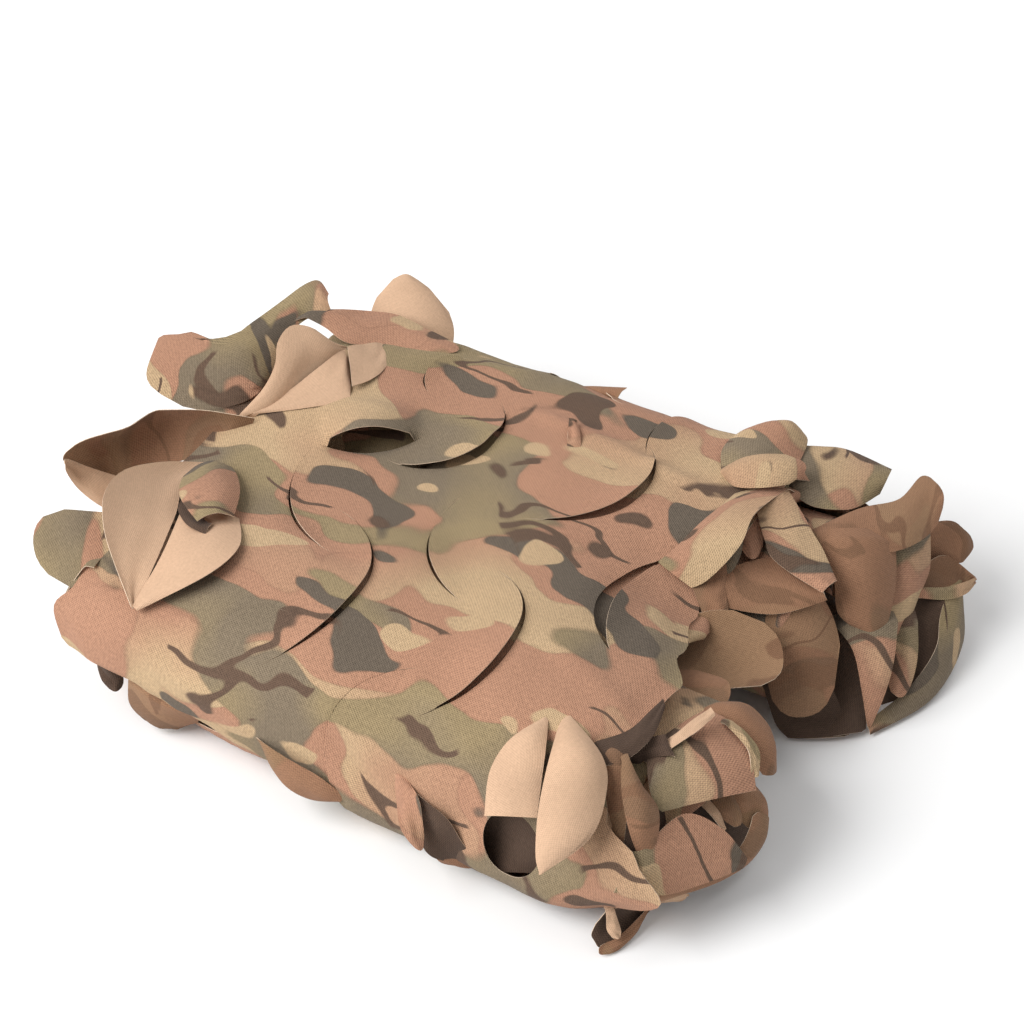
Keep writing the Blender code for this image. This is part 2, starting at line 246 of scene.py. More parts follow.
# Round leaves that hang out of the sides that the photo doesn't show, in mm and degrees: the root, the line
# from root to tip, the roll about that line, how far it humps on the way, the side that is printed (1 is
# out), its sideways bow, and its tip's curl.
Leaf = namedtuple("Leaf", "x y z heading climb length width roll hump face bow curl")
LEFT_LEAVES = (
    Leaf(-232, -150, 102, 190, -72, 60, 54, 6, 6, 1, 0, 3),
    Leaf(-234, -86, 110, 176, -80, 66, 58, -5, 5, -1, 2, 4),
    Leaf(-230, -112, 60, 184, -70, 50, 50, 4, 5, 1, 0, 3),
    Leaf(-230, 62, 108, 178, -78, 64, 56, -6, 6, 1, 0, 3),
    Leaf(-232, 130, 100, 186, -72, 58, 52, 5, 5, -1, -2, 4),
    Leaf(-226, 94, 58, 180, -74, 50, 50, -4, 5, 1, 0, 3),
)
BACK_LEAVES = (
    Leaf(-70, 216, 66, 76, -78, 60, 52, 8, 6, 1, 0, 3),
    Leaf(64, 214, 70, 102, -74, 64, 56, -8, 6, 1, 0, 4),
    Leaf(-160, 212, 62, 84, -80, 54, 50, 5, 5, -1, 2, 3),
)

# The photo's view: its bearing, height, distance, lens and sensor, and the pixel that shows a point 50 mm
# over the middle of the rolls.
VIEW_AZIMUTH = math.radians(30)
VIEW_ELEVATION = math.radians(38)
VIEW_DISTANCE = 1.7
LENS = 85
SENSOR = 36
PHOTO_PIXELS = 1024
AIMED_AT = Vector((0, 0, 50)) * MM
AIMED_COLUMN = 495
AIMED_ROW = 600

# Flaps and strips that are not plain leaves. Each follows its two long edges from root to tip: the side
# that shows from the front right (1 is the printed one), how far its middle bulges that way in mm, how
# round its tip is, whether it is folded sharply, and its stations. Side -2 is the plain side painted a
# darker brown as shade, with the print faintly through it, and -3 is a dark brown painted where the
# cloth lies in shade. A station is a point on one edge and one on the other: the column and row at which
# the photo shows each, and its height in mm, over the floor or, as Over, over the cloth that the photo
# shows there.
Band = namedtuple("Band", "name face bulge tip fold stations")
Over = namedtuple("Over", "by")
LEFT_BANDS = (
    Band("ribbon", 1, 6, 0.25, 0, (
        (323, 282, 148, 325, 297, 143), (315, 272, 147, 317, 304, 139), (302, 278, 145, 303, 313, 133),
        (280, 296, 138, 290, 328, 124), (252, 318, 131, 276, 360, 110), (222, 339, 126, 262, 398, 102),
        (191, 331, 125, 232, 416, 96), (160, 328, 123, 196, 418, 92), (148, 350, 114, 148, 406, 94),
    )),
    Band("strap", 1, 2, 0.2, 0, (
        (300, 303, 138, 294, 311, 136), (336, 304, 136, 318, 324, 131), (368, 308, 130, 344, 341, 127),
        (400, 315, 127, 384, 345, 124), (432, 331, 124, 424, 352, 124), (462, 345, 121, 455, 358, 121),
    )),
    Band("upright", -1, 9, 0.5, 0, (
        (372, 332, 108, 458, 340, 106), (373, 308, 119, 456, 322, 114), (384, 286, 129, 442, 298, 124),
        (396, 274, 135, 420, 280, 132),
    )),
    Band("lip", -1, 3, 0, 0, (
        (238, 408, Over(6), 244, 410, Over(5)), (262, 384, Over(14), 270, 402, Over(5)),
        (274, 362, Over(20), 290, 388, Over(5)), (277, 340, Over(26), 306, 375, Over(5)),
        (290, 325, Over(28), 318, 366, Over(5)), (310, 327, Over(24), 330, 358, Over(5)),
        (330, 341, Over(12), 339, 352, Over(5)), (346, 347, Over(5), 347, 349, Over(4)),
    )),
    Band("lip_back", -1, 1, 0, 0, (
        (246, 408, Over(5), 258, 411, Over(2)), (285, 390, Over(6), 302, 407, Over(2)),
        (318, 367, Over(6), 345, 401, Over(2)), (336, 354, Over(5), 350, 392, Over(2)),
        (344, 351, Over(4), 349, 370, Over(2)),
    )),
    Band("pale_tab", -1, 1, 0, 0, (
        (386, 344, Over(1), 388, 364, Over(1)), (377, 342, Over(3), 381, 372, Over(2)),
        (362, 344, Over(5), 370, 380, Over(3)), (347, 348, Over(7), 352, 387, Over(5)),
    )),
    Band("cup", -2, -16, 0.1, 0, (
        (236, 405, 134, 208, 466, 92), (200, 402, 136, 184, 468, 84), (165, 404, 136, 162, 472, 77),
        (150, 409, 134, 145, 476, 75), (129, 424, 130, 126, 480, 76), (105, 433, 126, 110, 480, 78),
        (82, 441, 120, 94, 472, 92), (61, 453, 114, 65, 466, 105),
    )),
    Band("cup_skin", -1, 3, 0.1, 0, (
        (121, 478, 80, 114, 512, 62), (103, 472, 88, 98, 506, 68), (86, 466, 98, 79, 490, 82),
        (62, 457, 112, 64, 471, 103),
    )),
    Band("lapel_left", -1, -2, 0, 0, (
        (208, 457, Over(5), 211, 461, Over(4)), (165, 458, Over(12), 192, 472, Over(4)),
        (123, 468, Over(20), 181, 490, Over(4)), (104, 492, Over(22), 176, 512, Over(4)),
        (103, 525, Over(20), 166, 537, Over(4)), (113, 560, Over(14), 152, 570, Over(4)),
        (131, 607, Over(6), 133, 609, Over(4)),
    )),
    Band("lapel_right", -1, 2, 0, 0, (
        (184, 498, Over(5), 238, 512, Over(6)), (172, 530, Over(5), 238, 544, Over(9)),
        (155, 566, Over(5), 204, 577, Over(10)), (133, 607, Over(5), 137, 610, Over(5)),
    )),
    Band("printed_flap", 1, 6, 0, 0, (
        (195, 456, Over(10), 210, 457, Over(7)), (182, 474, Over(16), 232, 464, Over(9)),
        (180, 496, Over(17), 240, 488, Over(11)), (197, 521, Over(13), 234, 517, Over(9)),
    )),
    # Painted shadow: a dark brown strip under the printed flap's edge.
    Band("dark_crescent", -3, 1, 0, 0, (
        (176, 496, Over(7), 181, 488, Over(9)), (180, 512, Over(8), 196, 506, Over(10)),
        (190, 526, Over(9), 206, 520, Over(10)), (206, 534, Over(8), 212, 524, Over(9)),
    )),
    Band("striped_lobe", 1, 5, 0.45, 0, (
        (114, 505, Over(0), 112, 594, Over(-8)), (80, 507, Over(-1), 90, 592, Over(-6)),
        (54, 508, Over(-2), 62, 586, Over(-4)), (33, 512, Over(-3), 40, 580, Over(-4)),
    )),
    Band("under_lobe", -2, 6, 0.35, 0, (
        (128, 676, 42, 206, 706, 40), (129, 700, 24, 202, 718, 22), (146, 720, 10, 192, 722, 8),
        (168, 728, 4, 184, 728, 4),
    )),
    Band("dark_lobe", -3, 2, 0.2, 0, (
        (86, 664, 44, 100, 671, 44), (100, 682, 34, 120, 676, 36), (113, 692, 26, 123, 688, 28),
    )),
)
FRONT_BANDS = (
    Band("pale_left", -1, 4, 0, 0, (
        (545, 717, 118, 548, 720, 118), (508, 742, 113, 545, 752, 116), (490, 772, 102, 541, 782, 106),
        (485, 816, 84, 537, 818, 92),
    )),
    Band("pale_right", -1, 9, 0.15, 0, (
        (556, 728, 120, 570, 714, 121), (546, 768, 116, 602, 756, 117), (538, 812, 103, 606, 792, 108),
        (536, 850, 88, 590, 838, 96), (538, 875, 80, 541, 875, 80),
    )),
    Band("floor_curl", -3, -6, 0.3, 0, (
        (672, 892, 24, 672, 905, 12), (650, 902, 25, 652, 920, 8), (622, 909, 26, 632, 937, 4),
        (603, 914, 25, 606, 953, 3), (590, 928, 16, 592, 944, 8),
    )),
    Band("curl_rim", -2, 2, 0.2, 0, (
        (664, 906, 14, 664, 912, 9), (643, 921, 11, 645, 930, 4), (618, 938, 7, 620, 950, 2),
        (598, 945, 7, 598, 957, 2),
    )),
    Band("curl_tab", -1, 1, 0.1, 0, (
        (603, 919, 23, 621, 917, 23), (606, 930, 16, 622, 932, 13), (613, 939, 10, 620, 938, 10),
    )),
    Band("low_point", -1, 1, 0, 0, (
        (668, 896, 22, 672, 907, 10), (679, 894, 22, 681, 902, 14), (689, 893, 20, 688, 895, 18),
    )),
    Band("low_crescent", -2, 3, 0, 0, (
        (260, 733, 48, 262, 738, 46), (280, 750, 48, 274, 766, 36), (303, 766, 46, 288, 786, 30),
        (325, 780, 42, 312, 799, 24), (346, 797, 32, 340, 801, 28),
    )),
    # Painted shade: dark brown inside the hem, where the cloth lies in shadow.
    Band("hem_inside", -3, 0, 0, 0, (
        (402, 792, Over(8), 404, 798, Over(8)), (423, 806, Over(9), 414, 828, 44),
        (446, 820, Over(9), 424, 852, 32), (462, 842, 42, 446, 862, 20), (476, 858, 30, 474, 863, 15),
    )),
    # Painted shadow: a dark brown sheet under the round opening.
    Band("hole_inside", -3, -2, 0, 0, (
        (470, 800, Over(-8), 546, 800, Over(-8)), (468, 838, Over(-10), 552, 845, Over(-10)),
        (490, 872, 26, 550, 874, 34),
    )),
    Band("hem_leaf", 1, 2, 0.1, 0, (
        (387, 780, Over(10), 402, 792, Over(11)), (392, 806, Over(12), 415, 806, Over(14)),
        (400, 830, 52, 423, 834, 50), (414, 848, 42, 423, 852, 40),
    )),
    Band("hem_flap", -2, 3, 0, 0, (
        (421, 846, 36, 424, 853, 30), (440, 853, 30, 434, 866, 18), (457, 857, 26, 455, 869, 10),
        (473, 859, 20, 472, 868, 7), (484, 862, 15, 483, 866, 9),
    )),
)
RIGHT_FRONT_BANDS = (
    Band("brown_tongue", -2, -9, 0.45, 0, (
        (684, 617, 92, 680, 657, 82), (712, 611, 94, 704, 677, 75), (745, 611, 94, 738, 690, 70),
        (784, 616, 91, 784, 690, 74),
    )),
    Band("low_tongue", -2, 4, 0.5, 0, (
        (672, 664, 89, 664, 704, 86), (698, 670, 89, 690, 718, 86), (730, 676, 88, 730, 716, 86),
    )),
    Band("spotted", 1, 5, 0, 0, (
        (726, 712, Over(-8), 650, 755, Over(-4)), (738, 724, 102, 650, 780, 104),
        (752, 760, 92, 656, 804, 94), (757, 790, 82, 662, 812, 88),
    )),
    # Painted highlight: a strip of the pale plain side laid along the ridge where the light catches it.
    Band("ridge_rim", -1, 1, 0, 0, (
        (671, 735, 115, 679, 748, 114), (692, 720, 116, 699, 731, 115), (711, 708, 115, 715, 715, 115),
    )),
    # Painted shadow: a dark brown wedge where a gap between flaps lies in shade.
    Band("dark_wedge", -3, 0, 0, 0, (
        (637, 753, 108, 638, 755, 107), (650, 741, 110, 652, 754, 107), (661, 736, 111, 666, 755, 107),
        (665, 735, 111, 675, 757, 107),
    )),
    Band("lobe_shadow", -3, 1, 0, 0, (
        (598, 744, Over(-3), 598, 770, Over(-3)), (617, 737, Over(-3), 621, 763, Over(-3)),
        (634, 727, Over(-3), 638, 752, Over(-3)), (650, 712, Over(-3), 654, 734, Over(-3)),
        (663, 700, Over(-3), 665, 707, Over(-3)),
    )),
    Band("strip_back", -2, 3, 0.1, 0, (
        (604, 756, Over(-3), 640, 758, Over(0)), (604, 790, 98, 636, 792, 100),
        (610, 830, 80, 640, 832, 82), (638, 866, 64, 648, 872, 62),
    )),
    Band("end_back", -3, 2, 0.1, 0, (
        (656, 802, 100, 650, 884, 60), (700, 790, 78, 690, 888, 32), (735, 780, 61, 730, 876, 11),
        (764, 800, 32, 758, 850, 8),
    )),
    Band("spotted_side", 1, 3, 0, 0, (
        (660, 800, 90, 730, 792, 84), (659, 822, 78, 706, 806, 78), (659, 842, 68, 672, 828, 70),
    )),
    Band("pale_sliver", -1, 1, 0, 0, (
        (700, 798, 78, 714, 796, 78), (712, 816, 70, 722, 813, 70), (723, 832, 63, 726, 829, 63),
    )),
    Band("inner_leaf", -2, 3, 0.2, 0, (
        (718, 794, 78, 745, 790, 76), (721, 812, 70, 744, 814, 66), (732, 828, 63, 741, 826, 62),
    )),
    Band("brown_strip", -2, 6, 0.1, 0, (
        (634, 764, 118, 644, 764, 117), (628, 785, 112, 650, 788, 108), (627, 808, 104, 661, 810, 96),
        (632, 837, 86, 658, 840, 78), (647, 874, 62, 652, 878, 58),
    )),
    Band("pointed", 1, 5, 0, 1, (
        (658, 846, 82, 648, 892, 60), (690, 812, 86, 672, 896, 50), (724, 828, 72, 706, 884, 46),
        (747, 858, 52, 743, 869, 46),
    )),
    Band("curl", -2, 6, 0.1, 0, (
        (721, 706, 106, 726, 692, 102), (732, 718, 100, 750, 698, 96), (748, 736, 92, 768, 722, 84),
        (759, 752, 84, 774, 744, 74), (758, 778, 72, 775, 772, 62),
    )),
    Band("scallop", 1, 2, 0.1, 0, (
        (736, 728, 106, 744, 724, 104), (750, 750, 97, 761, 748, 94), (750, 777, 87, 759, 778, 84),
    )),
    Band("side_leaf", -2, 3, 0.25, 0, (
        (742, 790, 78, 754, 784, 76), (742, 812, 66, 767, 800, 60), (745, 832, 54, 768, 822, 50),
    )),
    Band("low_band", -2, 4, 0.1, 0, (
        (655, 898, 48, 659, 911, 34), (684, 886, 46, 690, 896, 32), (716, 870, 46, 723, 882, 30),
        (739, 850, 50, 748, 865, 32), (750, 828, 58, 765, 841, 36), (754, 808, 66, 767, 820, 46),
    )),
)
RIGHT_BACK_BANDS = (
    Band("cap", 1, 10, 0.2, 0, (
        (722, 478, 118, 790, 482, 114), (722, 450, 124, 800, 462, 118), (742, 430, 128, 808, 440, 120),
        (765, 422, 128, 800, 428, 122),
    )),
    Band("cap_front", 1, 4, 0.25, 0, (
        (720, 458, 128, 724, 468, 125), (740, 452, 136, 736, 482, 128), (765, 451, 138, 764, 486, 129),
        (787, 453, 137, 789, 484, 128), (806, 462, 131, 803, 478, 126),
    )),
    Band("cap_side", 1, 6, 0, 0, (
        (802, 432, 122, 792, 488, 112), (824, 441, 118, 812, 505, 108), (850, 449, 112, 850, 509, 104),
        (892, 469, 106, 880, 494, 101),
    )),
    Band("swept_strip", -2, 4, 0.15, 0, (
        (812, 520, 114, 824, 540, 110), (860, 503, 113, 866, 551, 101), (900, 496, 109, 903, 548, 95),
        (922, 476, 108, 931, 532, 93), (941, 486, 106, 945, 508, 99),
    )),
    Band("pointed_flap", 1, 3, 0, 0, (
        (757, 503, Over(9), 790, 482, Over(8)), (764, 534, 119, 811, 524, 118),
        (775, 560, 111, 823, 549, 110), (822, 593, 101, 837, 581, 101),
    )),
    Band("swirl", 1, 2.5, 0, 0, (
        (736, 485, Over(7), 789, 481, Over(8)), (706, 513, Over(7), 756, 509, Over(12)),
        (680, 541, Over(6), 741, 543, Over(11)), (664, 556, Over(3), 710, 578, Over(5)),
        (658, 562, Over(0), 692, 588, Over(0)),
    )),
    Band("bulb", 1, 4, 0.5, 0, (
        (735, 526, 113, 764, 522, 114), (741, 548, 108, 763, 546, 108), (747, 560, 105, 758, 560, 105),
    )),
    # Painted shadow: a dark brown sheet in the hole under the bulb.
    Band("dark_hole", -3, 1, 0, 0, (
        (724, 548, 100, 772, 544, 102), (726, 574, 92, 772, 572, 92),
    )),
    Band("satin_flap", -2, 10, 0.05, 0, (
        (819, 544, 104, 908, 548, 96), (834, 578, 90, 901, 584, 78), (838, 613, 70, 890, 619, 64),
        (862, 632, 58, 877, 640, 54),
    )),
    Band("edge_strip", 1, 5, 0.1, 0, (
        (908, 548, 92, 945, 536, 84), (899, 590, 70, 936, 570, 66), (890, 618, 56, 918, 604, 50),
        (882, 640, 44, 906, 628, 42),
    )),
    Band("round_leaf", -2, 7, 0.45, 0, (
        (768, 600, 88, 826, 590, 88), (764, 640, 70, 839, 622, 68), (763, 680, 48, 842, 662, 48),
        (764, 722, 24, 840, 712, 26),
    )),
    Band("folded_top", -2, 3, 0, 1, (
        (727, 573, 98, 732, 616, 86), (775, 560, 102, 778, 617, 86), (824, 592, 98, 827, 600, 92),
    )),
    Band("valley_strip", -2, 2, 0, 0, (
        (690, 578, 106, 728, 562, 106), (698, 600, 98, 726, 592, 98), (702, 614, 92, 729, 614, 90),
    )),
    # Painted shade: dark brown lower layers where the roll's end lies in shadow.
    Band("dark_layer", -3, 4, 0.1, 0, (
        (832, 612, 54, 866, 626, 50), (830, 680, 22, 868, 690, 20), (816, 740, 3, 866, 734, 3),
    )),
    Band("bottom_layer", -3, 3, 0.1, 0, (
        (766, 690, 40, 842, 684, 34), (776, 724, 12, 846, 715, 12), (790, 740, 3, 850, 738, 3),
    )),
    Band("leaning_leaf", 1, 5, 0, 0, (
        (848, 624, 64, 912, 626, 60), (859, 650, 52, 900, 664, 46), (863, 690, 30, 886, 696, 28),
        (867, 726, 8, 871, 727, 6),
    )),
    Band("side_pink", 1, 4, 0.2, 0, (
        (906, 618, 54, 932, 624, 48), (893, 662, 34, 920, 666, 28), (888, 694, 20, 904, 700, 14),
    )),
    # Painted shade: dark brown inside the roll's end.
    Band("dark_inside", -3, -3, 0, 0, (
        (900, 604, 50, 956, 596, 50), (900, 646, 32, 950, 642, 32), (878, 706, 10, 920, 692, 12),
    )),
    Band("right_lobe", -2, 6, 0.4, 0, (
        (936, 526, 78, 944, 562, 62), (955, 522, 72, 963, 563, 54), (973, 540, 60, 971, 554, 54),
    )),
    Band("right_curl", -2, -4, 0, 0, (
        (912, 590, 66, 920, 602, 56), (930, 567, 68, 948, 601, 48), (948, 556, 66, 964, 592, 46),
        (975, 577, 46, 975, 584, 42),
    )),
    Band("right_rim", 1, 1, 0, 0, (
        (917, 590, 63, 919, 601, 57), (948, 589, 55, 949, 602, 48), (964, 583, 53, 966, 595, 46),
        (976, 577, 47, 976, 583, 43),
    )),
    Band("outer_band", 1, 4, 0, 0, (
        (962, 592, 50, 976, 580, 44), (948, 620, 42, 972, 606, 30), (942, 645, 34, 969, 643, 12),
        (925, 670, 24, 952, 678, 6), (903, 694, 14, 923, 707, 4), (866, 722, 8, 870, 735, 3),
    )),
)
BACK_BANDS = (
    Band("pale_strip", -2, 2, 0, 0, (
        (545, 376, 114, 552, 396, 106), (585, 383, 116, 590, 404, 108), (627, 388, 119, 614, 404, 111),
    )),
    Band("small_tab", 1, 1, 0, 0, (
        (567, 446, Over(0), 581, 447, Over(0)), (568, 430, Over(6), 580, 431, Over(6)),
        (569, 418, Over(11), 577, 420, Over(11)),
    )),
)

# How far a band's root may be drawn onto the cloth, and the bands whose root isn't tucked under it.
BAND_SEAT = 10 * MM
LOOSE_BANDS = ("ribbon",)
# The slot of the first of a band's three finishes (two sides and cut edge) where its back isn't plain but
# painted shade, brown or dark, and the direction that the side that shows is turned to.
SIDE_SLOTS = {-2: 3, -3: 6}
SHOWN_FROM = Vector((0.39, -0.68, 0.62))
# A band's mesh, the steps that its length is measured in, the shares of it that its direction is taken over,
# how much wider than its bulge it has to be to bulge fully, and its random seed after the leaves' seeds.
BAND_STATIONS = 30
BAND_STEPS = 40
BAND_AHEAD = 0.02
BAND_MIDWAY = 0.05
BULGE_ROOM = 4 * MM
BAND_SEEDS = 50

# A round leaf: where along it is fullest, how far its oval reaches back from there, how far its long edges
# stand off its middle in mm, where its tip starts to curl, its mesh, and its step over the print.
LEAF_FULLEST = 0.52
LEAF_START = 0.62
LEAF_CUP = -4
LEAF_CURL_START = 0.4
LEAF_STATIONS = 26
LEAF_RIBS = 10
LEAF_AREA_STEPS = 40
LEAF_CORNERS = (0.137, 0.211)

# How far a root is tucked in and how deep, in mm, and how far the cloth flutters, with the flutter's waves
# along and across a leaf or band, its step from one to the next, and the shares along which it comes in.
TUCKED_IN = 10
TUCK_DEPTH = 7
FLUTTER = 1.6
LEAF_WAVES = (2.6, 1.3, 7.1)
BAND_WAVES = (3.1, 1.3, 5.3)
LEAF_CALM = (-0.1, 0.4)
BAND_CALM = (0, 0.3)
# How near points are welded.
WELDED = 0.05 * MM

# The noises of the print and the cloth: how fine, how detailed, where they start, how much closer they lie
# along and across, their turn, and the value above which their colour is printed.
Noise = namedtuple("Noise", "scale detail offset stretch turn above", defaults=((1, 1, 1), 0.0, 0.5))
GROUND_NOISE = Noise(8, 1, (3.1, 0.4, 0))
CLAY_NOISE = Noise(10, 1, (7.3, 2.2, 0), (1.0, 1.7, 1), 0.5, 0.46)
OLIVE_NOISE = Noise(11, 1.2, (1.7, 5.1, 0), (0.8, 1.5, 1), -0.35, 0.545)
KHAKI_NOISE = Noise(13, 1, (9.1, 3.3, 0))
MOSS_NOISE = Noise(15, 1.4, (4.4, 8.8, 0), (0.9, 1.6, 1), 0.25, 0.632)
BRANCH_NOISE = Noise(14, 1.6, (6.2, 1.9, 0), (0.7, 1.8, 1), -0.2)
BREAKS_NOISE = Noise(12, 0, (2.9, 6.6, 0), above=0.535)
PATCH_NOISE = Noise(17, 1, (8.5, 4.7, 0), (0.9, 1.4, 1), 0.9, 0.69)
LIGHT_NOISE = Noise(15, 1, (5.8, 9.3, 0), (1.0, 1.8, 1), 0.1, 0.665)
THREAD_NOISE = Noise(420, 2, (0.3, 0.7, 0))
SOIL_NOISE = Noise(26, 3, (2.3, 1.7, 0))
WORN_NOISE = Noise(22, 2, (4.1, 0.9, 0))
NOISE_ROUGHNESS = 0.45

# The print: its scale (less than 1 draws it larger), the warp of its outlines, how sharp its edges are, the
# dark rims of its blotches, its soft shades, its branches and its flecks.
PRINT_SCALE = 0.78
PRINT_WARP = 0.045
WARP_NOISE = {"Scale": 17.0, "Detail": 1.5, "Roughness": 0.5}
PRINT_EDGE = 0.006
PRINT_RIM = 0.006
PRINT_RIM_SHADE = 0.14
GROUND_SOFTNESS = 0.10
KHAKI_SOFTNESS = 0.08
BRANCH_WIDTH = 0.019
BRANCH_EDGE = 0.004
FLECKS = {"Scale": 17.0, "Randomness": 0.8}
FLECK_SIZE = 0.18
FLECK_EDGE = 0.01
FLECKS_LEFT_OUT = 0.80

# How strongly the print shows through the plain side painted brown as shade, how much darker cloth is
# worn, how uneven and soiled it is, its threads' widths, how far they stand out, and its surface.
BLEED = 0.24
WORN_SHADE = 0.84
UNEVEN_THREADS = 1.2
SOIL_SHADE = 0.16
RIB_SHARE = 0.25
PRINTED_THREAD = 1.15 * MM
PLAIN_THREAD = 0.9 * MM
THREAD_RELIEF = 0.35 * MM
THREAD_BUMP = 0.55
CLOTH_SURFACE = {"Sheen Weight": 0.05, "Sheen Roughness": 0.5, "Specular IOR Level": 0.15}

# The studio: its floor's half size, and its lights' places, sizes and shares of the key light's power.
FLOOR_SIZE = 6
LIT_POINT = Vector((0, 0, 50)) * MM
LIGHTS = (
    ("key light", Vector((-2.0, -2.7, 3.0)), 3.4, 1.0),
    ("back light", Vector((0.6, 3.2, 3.0)), 2.4, 0.12),
)


# ---------------------------------------------------------------- the bundle's form


def smooth(low, high, value):
    """0 at low, 1 at high and an even S between them."""
    share = min(max((value - low) / (high - low), 0.0), 1.0)
    return share * share * (3 - 2 * share)


def drawn_out(share):
    """A sine or cosine drawn out towards the corners of a flattened roll."""
    return math.copysign(abs(share) ** (2 / ROUNDNESS), share)


def wound(side, degrees):
    """Section point (y, z) of a roll. Side -1 is the front roll, +1 the back one. 0 degrees is its top."""
    turns = degrees / 360
    angle = math.radians(degrees)
    y = ROLL_OFFSET + (HALF_WIDTH - PITCH_ACROSS * turns) * drawn_out(math.sin(angle))
    z = MID_HEIGHT + (HALF_HEIGHT - PITCH_UP * turns) * drawn_out(math.cos(angle))
    return side * y, max(z, FLOOR)


def spanning(y):
    """Section point (y, z) of the sheet between the tops of the two rolls."""
    return y, TOP - TOP_SAG * math.cos(math.pi * y / (2 * ROLL_OFFSET)) ** 2


def lay(x, y, z):
    """The bundle as it lies: slumped, splayed, lumpy, slack between its rolls, and level underneath."""
    share = (z - FLOOR) / (TOP - FLOOR)
    right, front = smooth(*TO_RIGHT, x), smooth(*TO_FRONT, y)
    back_left = smooth(*TO_LEFT, x) * smooth(*TO_BACK, y)
    broad = math.sin(BROAD_WAVES[0] * x + BROAD_PHASES[0]) * math.cos(BROAD_WAVES[1] * y + BROAD_PHASES[1])
    fine = math.sin(FINE_WAVES[0] * x + FINE_WAVES[1] * y)
    trough = smooth(*VALLEY_START, x) * math.exp(-(((y - VALLEY_MIDDLE) / VALLEY_WIDTH) ** 2))
    along = BACK_PUSHED_OUT * (1 - front) - FRONT_DRAWN_IN * front
    across = SLUMP * (1 - share) ** 2 * y + TOP_WANDER * math.sin(WANDER_WAVE * x) * share
    lift = BROAD_LUMPS * broad + FINE_LUMPS * fine + BACK_LEFT_LIFT * back_left - VALLEY_DEPTH * trough
    return Vector((x + along * right, y + across - FRONT_SPLAY * front * right, z + share * lift))


class Section:
    """The strip's section as a line to walk along, from the heart of the front roll to the back roll's."""

    def __init__(self):
        wind = list(range(0, 360, OUTER_STEP)) + list(range(360, 360 * TURNS + 1, INNER_STEP))
        span = [spanning(ROLL_OFFSET * (2 * k / SPAN_STEPS - 1)) for k in range(1, SPAN_STEPS)]
        self.line = [wound(-1, d) for d in reversed(wind)] + span + [wound(1, d) for d in wind]
        walked = [0.0]
        for (y0, z0), (y1, z1) in zip(self.line, self.line[1:]):
            walked.append(walked[-1] + math.hypot(y1 - y0, z1 - z0))
        self.across = [length - walked[-1] / 2 for length in walked]
        self.reach = self.across[-1]
        self.normals = []
        for k in range(len(self.line)):
            y0, z0 = self.line[max(k - 2, 0)]
            y1, z1 = self.line[min(k + 2, len(self.line) - 1)]
            span = math.hypot(y1 - y0, z1 - z0)
            self.normals.append(((z0 - z1) / span, (y1 - y0) / span))

    def at(self, across):
        """The point (y, z) at a length across from the middle line, and the outward normal there."""
        high = min(max(bisect_left(self.across, across), 1), len(self.across) - 1)
        share = (across - self.across[high - 1]) / (self.across[high] - self.across[high - 1])
        (y0, z0), (y1, z1) = self.line[high - 1], self.line[high]
        (m0, n0), (m1, n1) = self.normals[high - 1], self.normals[high]
        point = (y0 + (y1 - y0) * share, z0 + (z1 - z0) * share)
        return point, (m0 + (m1 - m0) * share, n0 + (n1 - n0) * share)


SECTION = Section()


def walk_edge(places, across):
    """X of an end between the places of its table."""
    for before, after in zip(places, places[1:]):
        if across <= after.across * MM:
            break
    share = smooth(before.across * MM, after.across * MM, across)
    return (before.x + (after.x - before.x) * share) * MM


def edge_x(places, across):
    """X of an end of the plies, with its scalloped outline."""
    x = walk_edge(places, across)
    x -= math.copysign(PLY_INSET, x)
    scallop = SCALLOP * (abs(math.sin(math.pi * across / SCALLOP_LENGTH)) - 0.5)
    return x + math.copysign(scallop, x)


def flap_rise(x, across):
    """How far a cut leaf has lifted off the sheet at a flat point, or the cloth outside it has sunk."""
    rise = 0.0
    for cut in CUTS:
        reach = Vector((x - cut.x * MM, across - cut.across * MM))
        if reach.length > cut.radius * MM + RIM_WIDTH:
            continue
        angle = math.radians(cut.towards)
        half = math.radians(cut.sweep / 2)
        hinge = cut.radius * MM * math.cos(half)
        depth = reach.x * math.cos(angle) + reach.y * math.sin(angle) - hinge
        if depth <= -cut.arch * MM:
            continue
        sideways = (reach.y * math.cos(angle) - reach.x * math.sin(angle)) / (cut.radius * MM)
        if cut.arch:
            spread = max(1 - (sideways / math.sin(half)) ** 2, 0)
            lift = cut.lift * MM * spread * smooth(-cut.arch * MM, cut.radius * MM - hinge, depth)
        else:
            lift = cut.lift * MM * (depth / (cut.radius * MM - hinge)) ** FLAP_CURL
            lift *= 1 + cut.lean * sideways
        outside = reach.length - (cut.radius - cut.gap * FLAP_EDGE) * MM
        if outside < 0:
            rise = max(rise, lift)
        else:
            rise = min(rise, -RIM_SINK * lift * max(1 - outside / RIM_WIDTH, 0) ** 2)
    return rise


def crease_height(x, across):
    """The height of the creases at a flat point."""
    height = 0.0
    for crease in CREASES:
        start = Vector((crease.x0, crease.across0)) * MM
        line = Vector((crease.x1, crease.across1)) * MM - start
        reach = Vector((x, across)) - start
        share = reach.dot(line) / line.length_squared
        if 0 < share < 1:
            off = reach.cross(line) / line.length / (crease.width * MM)
            if abs(off) < CREASE_REACH:
                ends = smooth(0, CREASE_FADE, share) * smooth(1, 1 - CREASE_FADE, share)
                height += crease.height * MM * ends * math.exp(-CREASE_FALL * off * off)
    return height


def puckers(x, across):
    """Small unevenness of the cloth at a flat point."""
    place = Vector((x, across, 0))
    return PUCKER * noise.noise(place * PUCKER_WAVE) + FINE_PUCKER * noise.noise(place * FINE_PUCKER_WAVE)


